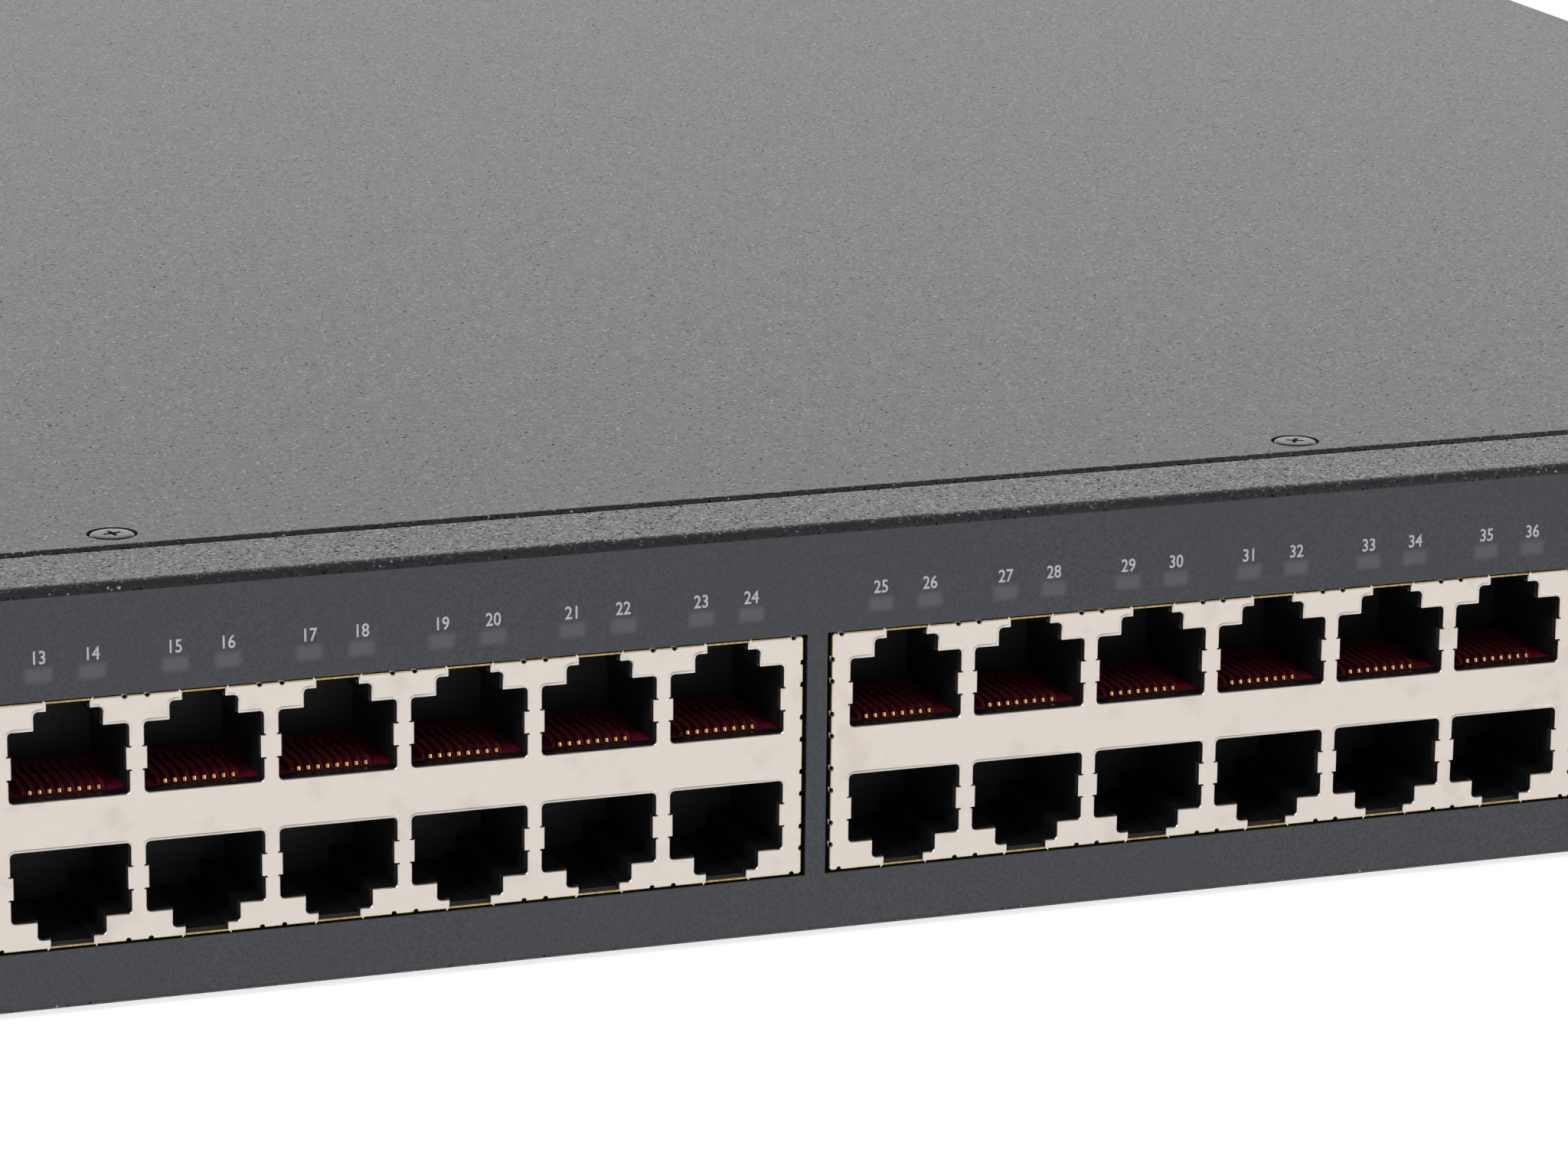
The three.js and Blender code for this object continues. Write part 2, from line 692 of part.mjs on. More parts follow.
// The moulding behind a shield: stepped cavities, and one wide slot between the rows for the contacts.
function jackHousing(block) {
  const wrap = shieldSheet + seatGap;
  const half = shieldWidth / 2 - wrap;
  const x = blockX(block);
  const cavityEnd = wrap + cavityDepth;
  const slotHalf = (columnsPerBlock * columnPitch) / 2;
  const slotRise = rowGap / 2 + insertClearance;
  const slot = [x - slotHalf, x + slotHalf, insertSetback, cavityEnd + seatGap];
  const cuts = [box(...slot, rowMiddle - slotRise, rowMiddle + slotRise)];
  const reach = openingHeight + shoulderHeight + 0.5;
  for (let column = 0; column < columnsPerBlock; column += 1) {
    for (const row of jackRows) {
      const shape = jackOutline(columnX(block, column), row.z, row.direction, cavityInset, reach);
      cuts.push(frontPlate(shape, 0, cavityEnd));
    }
  }
  const block3d = box(x - half, x + half, wrap, jackDepth - wrap, shieldBottom, shieldTop - wrap);
  return carve([block3d], cuts);
}

// The contact carrier fills the slot between the two rows.
function contactInsert(block) {
  const x = blockX(block);
  const half = (columnsPerBlock * columnPitch) / 2 - insertClearance;
  const low = rowMiddle - rowGap / 2;
  const high = rowMiddle + rowGap / 2;
  const front = insertSetback + insertClearance;
  return box(x - half, x + half, front, shieldSheet + seatGap + cavityDepth, low, high);
}

// Light guide over a block: fingers in the panel's holes, a carrier bar and a leg down behind the jacks.
function lightPipe(block) {
  const x0 = columnX(block, 0) - columnPitch / 2;
  const x1 = columnX(block, columnsPerBlock - 1) + columnPitch / 2;
  const half = lampWidth / 2 - pipeClearance;
  const tip = film + 2 * filmGap;
  const bar = panelBack + pipeCarrierDepth;
  const legFront = jackDepth + seatGap;
  const points = [[x0, bar]];
  for (const x of lampCentres(block)) {
    points.push([x - half, bar], [x - half, tip], [x + half, tip], [x + half, bar]);
  }
  points.push([x1, bar], [x1, legFront + pipeLeg], [x0, legFront + pipeLeg]);
  const thickness = lampHeight - 2 * pipeClearance;
  const comb = extrude(outline(points), thickness).translate(0, 0, lampZ - thickness / 2);
  const leg = box(x0, x1, legFront, legFront + pipeLeg, boardTop + 2, lampZ);
  const screwTip = bodyHeight - dimpleDepth - coverScrewLength - seatGap;
  const holes = [];
  for (let screw = 0; screw < coverScrewCount; screw += 1) {
    const radius = coverScrewRadius + screwClearance;
    holes.push(upright(coverScrewX(screw), coverScrewSetback, screwTip, bodyHeight, radius, 12));
  }
  return carve([comb, leg], holes);
}

for (let block = 0; block < blockCount; block += 1) {
  place(`jack_shield_${block + 1}`, jackShield(block), tinnedBrass);
  place(`jack_housing_${block + 1}`, jackHousing(block), blackPlastic);
  place(`contact_insert_${block + 1}`, contactInsert(block), maroonPlastic);
  place(`port_light_pipe_${block + 1}`, lightPipe(block), clearPlastic);
}

// ---------------------------------------------------------------- console jack, status lamps, button
function consoleShield() {
  const half = consoleWidth / 2;
  const top = shieldBottom + consoleHeight;
  const inner = half - shieldSheet;
  const hollow = [consoleX - inner, consoleX + inner, shieldSheet, consoleDepth - shieldSheet];
  const cuts = [
    box(...hollow, 0, top - shieldSheet),
    frontPlate(jackOutline(consoleX, top - consoleRim(), -1, 0, consoleHeight), -1, faceCut),
  ];
  return carve([box(consoleX - half, consoleX + half, 0, consoleDepth, shieldBottom, top)], cuts);
}

// Height of metal above the console jack's opening.
function consoleRim() {
  return (consoleHeight - openingHeight - shoulderHeight) / 2;
}

function consoleHousing() {
  const wrap = shieldSheet + seatGap;
  const half = consoleWidth / 2 - wrap;
  const top = shieldBottom + consoleHeight;
  const reach = openingHeight + shoulderHeight + 0.5;
  const cavity = jackOutline(consoleX, top - consoleRim(), -1, cavityInset, reach);
  return carve(
    [box(consoleX - half, consoleX + half, wrap, consoleDepth - wrap, shieldBottom, top - wrap)],
    [frontPlate(cavity, 0, wrap + cavityDepth)],
  );
}

function statusLightPipe() {
  const half = lampWidth / 2 - pipeClearance;
  const rise = lampHeight / 2 - pipeClearance;
  const tip = film + 2 * filmGap;
  const bar = panelBack + pipeCarrierDepth;
  const kept = [];
  for (let lamp = 0; lamp < statusLampCount; lamp += 1) {
    const z = statusLampZ(lamp);
    kept.push(box(statusX - half, statusX + half, tip, bar + 1, z - rise, z + rise));
  }
  const low = statusLampZ(statusLampCount - 1) - rise;
  kept.push(box(statusX - half, statusX + half, bar, bar + guideBar, low, lampZ + rise));
  return carve(kept);
}

const switchBodyFront = panelBack + switchSetback;

// The button turns about Y: a cap through the panel, a collar behind it and a stem to the switch.
function modeButton() {
  const collarFront = panelBack + seatGap;
  const stemEnd = switchBodyFront - buttonStemGap;
  const profile = [
    [0, -buttonProud],
    [buttonRadius - buttonChamfer, -buttonProud],
    [buttonRadius, -buttonProud + buttonChamfer],
    [buttonRadius, collarFront],
    [buttonRadius + buttonCollar, collarFront],
    [buttonRadius + buttonCollar, collarFront + buttonCollarLength],
    [buttonStemRadius, collarFront + buttonCollarLength],
    [buttonStemRadius, stemEnd],
    [0, stemEnd],
  ];
  const turned = new THREE.LatheGeometry(profile.map(([r, y]) => new THREE.Vector2(r, y)), 16);
  return turned.translate(statusX, 0, buttonHeight);
}

function modeSwitch() {
  const half = switchWidth / 2;
  const low = boardTop + seatGap;
  const high = buttonHeight + half;
  return box(statusX - half, statusX + half, switchBodyFront, switchBodyFront + switchLength, low, high);
}

place("console_shield", consoleShield(), tinnedBrass);
place("console_housing", consoleHousing(), blackPlastic);
place("status_light_pipe", statusLightPipe(), clearPlastic);
place("mode_button", modeButton(), plugPlastic);
place("mode_switch", modeSwitch(), blackPlastic);

// ---------------------------------------------------------------- pluggable-module bays and dust plugs
function bayCentre(index) {
  const column = index % 2;
  const row = Math.floor(index / 2);
  const x = rightZoneX + (column - 0.5) * bayPitchX;
  const z = cageBottom + cageWall + bayHeight / 2 + row * cageRowRise;
  return [x, z];
}

function moduleCage() {
  const half = cageWidth / 2;
  const gapLow = cageBottom + bayHeight + 2 * cageWall;
  const gapHigh = gapLow + bayRowGap - 2 * cageWall;
  const gapHalf = half - 2 * cageWall;
  const cuts = [box(rightZoneX - gapHalf, rightZoneX + gapHalf, -1, bayDepth, gapLow, gapHigh)];
  for (let bay = 0; bay < 4; bay += 1) {
    const [x, z] = bayCentre(bay);
    cuts.push(box(x - bayWidth / 2, x + bayWidth / 2, -1, bayDepth, z - bayHeight / 2, z + bayHeight / 2));
  }
  const body = [rightZoneX - half, rightZoneX + half, 0, bayDepth + cageWall];
  return carve([box(...body, cageBottom, cageBottom + cageHeight)], cuts);
}

// A dust plug: body in the bay, flange against the cage's face, grip with a thicker pull edge.
function dustPlug(index) {
  const [x, z] = bayCentre(index);
  const half = bayWidth / 2 - plugClearance;
  const rise = bayHeight / 2 - plugClearance;
  const face = -plugClearance;
  const front = face - plugFlange;
  const tip = front - plugGrip;
  const flangeHalf = (bayPitchX - plugFlangeGap) / 2;
  const flangeRise = bayHeight / 2 + plugFlangeRim;
  const left = x - plugGripWidth / 2;
  const right = x + plugGripWidth / 2;
  const grip = plugGripHeight / 2;
  const edge = plugEdgeHeight / 2;
  const inner = half - plugWall;
  const lift = rise - plugWall;
  return carve(
    [
      box(x - half, x + half, face - 0.1, plugLength, z - rise, z + rise),
      box(x - flangeHalf, x + flangeHalf, front, face, z - flangeRise, z + flangeRise),
      box(left, right, tip, front + 0.1, z - grip, z + grip),
      box(left, right, tip, tip + plugEdgeLength, z - edge, z + edge),
    ],
    [box(x - inner, x + inner, plugFaceWall, plugLength + 1, z - lift, z + lift)],
  );
}

place("module_cage", moduleCage(), zincSteel);
for (let bay = 0; bay < 4; bay += 1) {
  place(`dust_plug_${bay + 1}`, dustPlug(bay), plugPlastic);
}

// ---------------------------------------------------------------- main board and what cools it
// A finned heat sink: comb outline across X, extruded along Y.
function finnedSink(x, y, width, length, base, height, fins) {
  const pitch = width / fins;
  const fin = pitch * finShare;
  const left = x - width / 2;
  const points = [[left, base], [left + width, base]];
  for (let index = fins - 1; index >= 0; index -= 1) {
    const start = left + (index + 1) * pitch - (index === fins - 1 ? 0 : (pitch - fin) / 2);
    const end = left + index * pitch + (index === 0 ? 0 : (pitch - fin) / 2);
    const root = base + sinkFloor;
    if (index !== fins - 1) {
      points.push([start, root]);
    }
    points.push([start, height], [end, height]);
    if (index !== 0) {
      points.push([end, root]);
    }
  }
  return frontPlate(outline(points), y, y + length);
}

const chips = [
  { label: "switch", x: portRowShift, y: switchChipY, sink: switchSink },
  { label: "left_phy", x: portRowShift - phySpread, y: phyChipY, sink: phySink },
  { label: "right_phy", x: portRowShift + phySpread, y: phyChipY, sink: phySink },
];

const mainBoard = box(-boardHalf, boardHalf, boardSetback, boardLength, boardBottom, boardTop);
place("main_board", mainBoard, circuitBoard);
for (const { label, x, y, sink } of chips) {
  const half = chipSize / 2;
  const low = boardTop + sinkGap;
  const base = low + chipHeight + sinkGap;
  place(`${label}_chip`, box(x - half, x + half, y - half, y + half, low, low + chipHeight), chipResin);
  const fins = finnedSink(x, y - sink / 2, sink, sink, base, base + sinkHeight, finCount);
  place(`${label}_heatsink`, fins, bareAluminium);
}

// ---------------------------------------------------------------- power supply
function transformer() {
  const x = psuX + transformerShift;
  const y = psuRear - psuLength / 2;
  const low = psuTop + seatGap;
  const core = [x - coreWidth / 2, x + coreWidth / 2, y - coreLength / 2, y + coreLength / 2];
  const coil = [x - coilWidth / 2, x + coilWidth / 2, y - coilLength / 2, y + coilLength / 2];
  return carve([box(...core, low + coreLift, low + coreTop), box(...coil, low, low + coilTop)]);
}

function harness() {
  const x0 = psuX + harnessShift;
  const x1 = x0 + harnessLean;
  const start = psuTop + seatGap;
  const end = boardTop + seatGap;
  const path = new THREE.CatmullRomCurve3([
    new THREE.Vector3(x0, psuFront + 8, start + 0.4),
    new THREE.Vector3(x0, psuFront + 8, start + harnessRise - 5),
    new THREE.Vector3((x0 + x1) / 2, psuFront - 10, start + harnessRise),
    new THREE.Vector3(x1, boardLength - 12, end + 9),
    new THREE.Vector3(x1, boardLength - 12, end + 0.6),
  ]);
  const section = new THREE.Shape();
  section.absarc(0, 0, harnessRadius, 0, 2 * Math.PI);
  return new THREE.ExtrudeGeometry(section, { steps: 12, extrudePath: path, curveSegments: 4 });
}

const psuBoard = box(
  psuX - psuWidth / 2, psuX + psuWidth / 2,
  psuFront, psuRear,
  psuBottom, psuTop,
);
place("psu_board", psuBoard, circuitBoard);
place("psu_transformer", transformer(), ferrite);
const capacitorX = psuX + capacitorShift;
const capacitorZ = psuTop + capacitorLift + capacitorRadius;
const capacitorEnds = [capacitorX - capacitorLength / 2, capacitorX + capacitorLength / 2];
const capacitor = across(...capacitorEnds, psuRear - capacitorSetback, capacitorZ, capacitorRadius, 20);
place("psu_capacitor", capacitor, chipResin);
place("dc_harness", harness(), wireJacket);

// ---------------------------------------------------------------- fans
function fanFrame(x) {
  const half = fanSize / 2;
  const rear = fanY + fanLength;
  const holeReach = half - fanHoleInset;
  const body = box(x - half, x + half, fanY, rear, midHeight - half, midHeight + half);
  const bore = level(x, fanY - 1, rear + 1, midHeight, fanBoreRadius, 24);
  const kept = [carve([body], [bore])];
  const cuts = [];
  kept.push(level(x, fanY, fanY + strutThickness, midHeight, fanHubRadius, 16));
  kept.push(level(x, fanY, rear - spindleSetback, midHeight, spindleRadius, 8));
  for (let strut = 0; strut < strutCount; strut += 1) {
    const ends = [fanHubRadius - 1, fanBoreRadius + fanFrameWall / 2];
    const arm = box(-strutWidth / 2, strutWidth / 2, 0, strutThickness, ...ends);
    arm.rotateY((strut * 2 * Math.PI) / strutCount + strutTurn);
    kept.push(arm.translate(x, fanY, midHeight));
  }
  for (const dx of [-1, 1]) {
    for (const dz of [-1, 1]) {
      cuts.push(level(x + dx * holeReach, fanY - 1, rear + 1, midHeight + dz * holeReach, fanHoleRadius, 8));
    }
  }
  return carve(kept, cuts);
}

// Drawn about its own axis (Y), so that each fan places its rotor by position alone.
function fanRotor() {
  const kept = [level(0, hubStart, hubEnd, 0, fanHubRadius, 20)];
  const tip = fanBoreRadius - fanTipClearance - bladeTipRelief;
  const half = [bladeChord / 2, bladeThickness / 2];
  for (let blade = 0; blade < fanBladeCount; blade += 1) {
    const wing = box(-half[0], half[0], -half[1], half[1], fanHubRadius - 1, tip);
    wing.rotateZ(-bladeTilt);
    wing.rotateY((blade * 2 * Math.PI) / fanBladeCount);
    kept.push(wing.translate(0, (hubStart + hubEnd) / 2, 0));
  }
  return carve(kept, [
    level(0, hubStart - 1, hubEnd - hubFloor, 0, fanHubRadius - hubWall, 16),
    level(0, hubStart - 1, hubEnd - spindleFloor, 0, spindleRadius + spindleClearance, 8),
  ]);
}

for (let fan = 0; fan < 2; fan += 1) {
  place(`fan_frame_${fan + 1}`, fanFrame(fanX(fan)), blackPlastic);
  const rotor = place(`fan_rotor_${fan + 1}`, fanRotor(), plugPlastic);
  rotor.position.set(fanX(fan), fanY, midHeight);
}

// ---------------------------------------------------------------- mains inlet
const inletOuter = bodyDepth + seatGap + inletFlange;
const inletPins = [
  { label: "earth", dx: 0, dz: inletPinRise },
  { label: "line", dx: -inletPinPitch, dz: -inletPinRise },
  { label: "neutral", dx: inletPinPitch, dz: -inletPinRise },
];

function inletPinBox({ dx, dz }, y0, y1, margin) {
  const x = inletX + dx;
  const z = midHeight + dz;
  const half = inletPinWidth / 2 + margin;
  const rise = inletPinHeight / 2 + margin;
  return box(x - half, x + half, y0, y1, z - rise, z + rise);
}

function mainsInlet() {
  const half = inletBodyWidth / 2;
  const rise = inletBodyHeight / 2;
  const bodyFront = bodyDepth - inletBodyLength;
  const mouthHalf = inletMouthWidth / 2;
  const mouthRise = inletMouthHeight / 2;
  const mouth = outline([
    [inletX - mouthHalf, midHeight - mouthRise],
    [inletX + mouthHalf, midHeight - mouthRise],
    [inletX + mouthHalf, midHeight + mouthRise - inletMouthChamfer],
    [inletX + mouthHalf - inletMouthChamfer, midHeight + mouthRise],
    [inletX - mouthHalf + inletMouthChamfer, midHeight + mouthRise],
    [inletX - mouthHalf, midHeight + mouthRise - inletMouthChamfer],
  ]);
  const flangeShape = roundedRect(
    inletX - inletFlangeWidth / 2, inletX + inletFlangeWidth / 2,
    midHeight - inletFlangeHeight / 2, midHeight + inletFlangeHeight / 2, inletFlangeRadius,
  );
  const cuts = [frontPlate(mouth, inletOuter - inletMouthDepth, inletOuter + 1)];
  for (const side of [-1, 1]) {
    const x = inletX + side * inletHoleReach;
    cuts.push(level(x, bodyDepth - 1, inletOuter + 1, midHeight, inletHoleRadius, 12));
  }
  for (const pin of inletPins) {
    cuts.push(inletPinBox(pin, bodyFront - 1, bodyDepth, inletPinClearance));
  }
  return carve(
    [
      box(inletX - half, inletX + half, bodyFront, bodyDepth + 1, midHeight - rise, midHeight + rise),
      frontPlate(flangeShape, bodyDepth + seatGap, inletOuter, 4),
    ],
    cuts,
  );
}

place("mains_inlet", mainsInlet(), blackPlastic);
for (const pin of inletPins) {
  const ends = [bodyDepth - inletBodyLength - inletPinTail, inletOuter - inletPinSetback];
  const geometry = inletPinBox(pin, ...ends, 0);
  place(`inlet_pin_${pin.label}`, geometry, zincSteel);
}

// ---------------------------------------------------------------- rack ears
// Side: -1 on the left, +1 on the right. An L of thicker steel with two rack slots.
function rackEar(side) {
  const x0 = side * earSide;
  const x1 = side * (earSide + earSheet);
  const tip = side * (halfWidth + earReach + 0.15);
  const front = panelFront;
  const low = (bodyHeight - earHeight) / 2;
  const sideLow = midHeight - earSideHeight / 2;
  const kept = [
    box(Math.min(x0, tip), Math.max(x0, tip), front, front + earSheet, low, low + earHeight),
    box(Math.min(x0, x1), Math.max(x0, x1), front, front + earSideLength, sideLow, sideLow + earSideHeight),
  ];
  const cuts = [];
  const slotX = (side * earHolePitch) / 2;
  for (const dz of [-1, 1]) {
    const z = midHeight + (dz * earSlotPitch) / 2;
    const half = earSlotLength / 2;
    const rise = earSlotWidth / 2;
    const slot = roundedRect(slotX - half, slotX + half, z - rise, z + rise, rise - 0.01);
    cuts.push(frontPlate(slot, front - 1, front + earSheet + 1, 3));
  }
  for (const y of [earScrewSetback, earScrewSetback + earScrewPitchY]) {
    for (const dz of [-1, 1]) {
      const z = midHeight + (dz * earScrewPitchZ) / 2;
      const ends = [x0 - side, x1 + side].sort((a, b) => a - b);
      cuts.push(across(ends[0], ends[1], y, z, earScrewRadius, 8));
    }
  }
  return carve(kept, cuts);
}

place("rack_ear_left", rackEar(-1), powderCoat);
place("rack_ear_right", rackEar(1), powderCoat);

// ---------------------------------------------------------------- on its feet, centred
unit.position.set(0, (frontReach - rearReach) / 2, footProud);

const networkSwitch = new THREE.Group();
networkSwitch.add(unit);

export default networkSwitch;
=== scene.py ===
"""Looks of the rackmount network switch: studio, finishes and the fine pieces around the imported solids."""

import json
import math
import random

import bmesh
import bpy
from mathutils import Matrix, Vector
from mathutils.geometry import tessellate_polygon


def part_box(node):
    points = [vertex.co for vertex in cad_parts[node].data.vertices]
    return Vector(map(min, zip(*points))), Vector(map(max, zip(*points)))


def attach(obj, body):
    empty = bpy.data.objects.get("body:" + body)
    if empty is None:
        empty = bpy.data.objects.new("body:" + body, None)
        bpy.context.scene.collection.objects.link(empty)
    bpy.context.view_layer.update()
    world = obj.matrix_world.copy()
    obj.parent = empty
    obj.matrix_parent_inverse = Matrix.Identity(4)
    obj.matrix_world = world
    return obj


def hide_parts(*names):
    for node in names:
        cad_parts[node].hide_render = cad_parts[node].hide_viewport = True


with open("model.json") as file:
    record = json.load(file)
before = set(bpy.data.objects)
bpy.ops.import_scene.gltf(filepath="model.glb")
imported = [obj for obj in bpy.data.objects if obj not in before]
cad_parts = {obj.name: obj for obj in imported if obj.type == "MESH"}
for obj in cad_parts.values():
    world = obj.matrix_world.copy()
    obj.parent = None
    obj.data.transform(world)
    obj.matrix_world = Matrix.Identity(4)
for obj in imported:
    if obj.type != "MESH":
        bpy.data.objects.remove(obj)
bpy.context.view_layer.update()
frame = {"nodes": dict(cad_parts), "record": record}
nodes = frame["nodes"]

# Sizes below are millimetres in the unit's own frame: x = 0 on its centre line, y = 0 on the front
# face, z = 0 on the underside of the tray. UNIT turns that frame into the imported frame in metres.
MM = 0.001
FRONT_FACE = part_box("front_overlay")[0][1]
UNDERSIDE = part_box("base_tray")[0][2]
UNIT = Matrix.Translation((0, FRONT_FACE, UNDERSIDE)) @ Matrix.Scale(MM, 4)
CHASSIS = "chassis"


def span(node):
    """Lowest and highest corner of a solid, in millimetres in the unit's frame."""
    low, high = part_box(node)
    back = UNIT.inverted()
    return back @ Vector(low), back @ Vector(high)


# ---------------------------------------------------------------- camera, floor and light
def place_camera():
    """A long lens on the left, a little above the unit, looking at the middle of its front."""
    azimuth, elevation, roll = (math.radians(angle) for angle in (20.30, 14.913, 0.610))
    forward = Vector((
        math.sin(azimuth) * math.cos(elevation),
        math.cos(azimuth) * math.cos(elevation),
        -math.sin(elevation),
    ))
    level_right = Vector((math.cos(azimuth), -math.sin(azimuth), 0))
    level_up = level_right.cross(forward)
    right = level_right * math.cos(roll) + level_up * math.sin(roll)
    up = level_up * math.cos(roll) - level_right * math.sin(roll)
    lens = bpy.data.cameras.new("studio_camera")
    lens.sensor_width = 36
    lens.lens = 146.18
    lens.clip_start = 0.02
    camera = bpy.data.objects.new("studio_camera", lens)
    turn = Matrix((right, up, -forward)).transposed().to_4x4()
    spot = (-0.22109, -0.77104, 0.2077)
    camera.matrix_world = Matrix.Translation(spot) @ turn
    bpy.context.collection.objects.link(camera)
    bpy.context.scene.camera = camera


def linear(hex_colour):
    """An sRGB hex colour as linear red, green, blue and alpha."""
    channels = [int(hex_colour[i:i + 2], 16) / 255 for i in (1, 3, 5)]
    return tuple(c / 12.92 if c <= 0.04045 else ((c + 0.055) / 1.055) ** 2.4 for c in channels) + (1.0,)


def add(tree, kind, inputs=None, **settings):
    """Adds one node, gives it its settings, and sets or links its inputs."""
    node = tree.nodes.new("ShaderNode" + kind)
    for name, value in settings.items():
        setattr(node, name, value)
    for socket, value in (inputs or {}).items():
        if isinstance(value, bpy.types.NodeSocket):
            tree.links.new(value, node.inputs[socket])
        else:
            node.inputs[socket].default_value = value
    return node


def light_studio():
    """A white sweep, bright behind the unit and dimmer in front and overhead, with a key and a fill lamp."""
    world = bpy.data.worlds.new("white_sweep")
    world.use_nodes = True
    tree = world.node_tree
    tree.nodes.clear()
    way = add(tree, "SeparateXYZ", {0: add(tree, "TexCoord").outputs["Generated"]}).outputs
    depth = {"Value": way["Y"], "From Min": -0.3, "From Max": 0.6, "To Min": 0.5, "To Max": 1.35}
    horizon = add(tree, "MapRange", depth, interpolation_type="SMOOTHSTEP").outputs[0]
    height = {"Value": way["Z"], "From Min": 0.30, "From Max": 0.72, "To Min": horizon, "To Max": 0.24}
    sky = add(tree, "MapRange", height, interpolation_type="SMOOTHSTEP").outputs[0]
    seen = add(tree, "LightPath").outputs["Is Camera Ray"]
    strength = add(tree, "Mix", {0: seen, 2: sky, 3: 1.06}, data_type="FLOAT").outputs[0]
    glow = add(tree, "Background", {"Color": (1, 1, 1, 1), "Strength": strength})
    add(tree, "OutputWorld", {"Surface": glow.outputs[0]})
    bpy.context.scene.world = world
    bpy.context.scene.view_settings.view_transform = "Standard"
    for name, spot, size, power in (
        ("key_softbox", (-1.3, -0.9, 1.7), 0.5, 20),
        ("fill_softbox", (1.6, -1.4, 1.2), 1.2, 7),
    ):
        lamp = bpy.data.lights.new(name, "AREA")
        lamp.size = size
        lamp.energy = power
        softbox = bpy.data.objects.new(name, lamp)
        softbox.location = spot
        softbox.rotation_euler = (-Vector(spot)).to_track_quat("-Z", "Y").to_euler()
        softbox.visible_camera = False
        bpy.context.collection.objects.link(softbox)


def lay_floor():
    """A lit paper sweep: white all over, with next to no shadow on it."""
    sheet = bmesh.new()
    bmesh.ops.create_grid(sheet, x_segments=2, y_segments=2, size=8)
    mesh = bpy.data.meshes.new("floor")
    sheet.to_mesh(mesh)
    sheet.free()
    paper = bpy.data.materials.new("white paper sweep, lit from below")
    paper.use_nodes = True
    shader = paper.node_tree.nodes["Principled BSDF"]
    shader.inputs["Base Color"].default_value = linear("#a8a8a8")
    shader.inputs["Roughness"].default_value = 0.9
    shader.inputs["Specular IOR Level"].default_value = 0.1
    shader.inputs["Emission Color"].default_value = (1, 1, 1, 1)
    shader.inputs["Emission Strength"].default_value = 0.78
    mesh.materials.append(paper)
    floor = bpy.data.objects.new("floor", mesh)
    bpy.context.collection.objects.link(floor)


# ---------------------------------------------------------------- finishes
def start_finish(name, colour, roughness, metallic=0.0):
    """A new finish with its shader, its colour and its place on the surface in metres."""
    finish = bpy.data.materials.new(name)
    finish.use_nodes = True
    tree = finish.node_tree
    shader = tree.nodes["Principled BSDF"]
    shader.inputs["Base Color"].default_value = linear(colour)
    shader.inputs["Roughness"].default_value = roughness
    shader.inputs["Metallic"].default_value = metallic
    surface = add(tree, "TexCoord").outputs["Object"]
    return finish, tree, shader, surface


def per_metre(size):
    """The texture scale that repeats once every so many millimetres."""
    return 1 / (size * MM)


def raise_grain(tree, shader, heights, distance):
    """Bumps the surface by a sum of heights, each a socket and its share, up to distance in millimetres."""
    total = 0.0
    for socket, share in heights:
        parts = {0: socket, 1: share, 2: total}
        total = add(tree, "Math", parts, operation="MULTIPLY_ADD").outputs[0]
    bump = add(tree, "Bump", {"Strength": 1.0, "Distance": distance * MM, "Height": total})
    tree.links.new(bump.outputs["Normal"], shader.inputs["Normal"])
    return bump.outputs["Normal"]


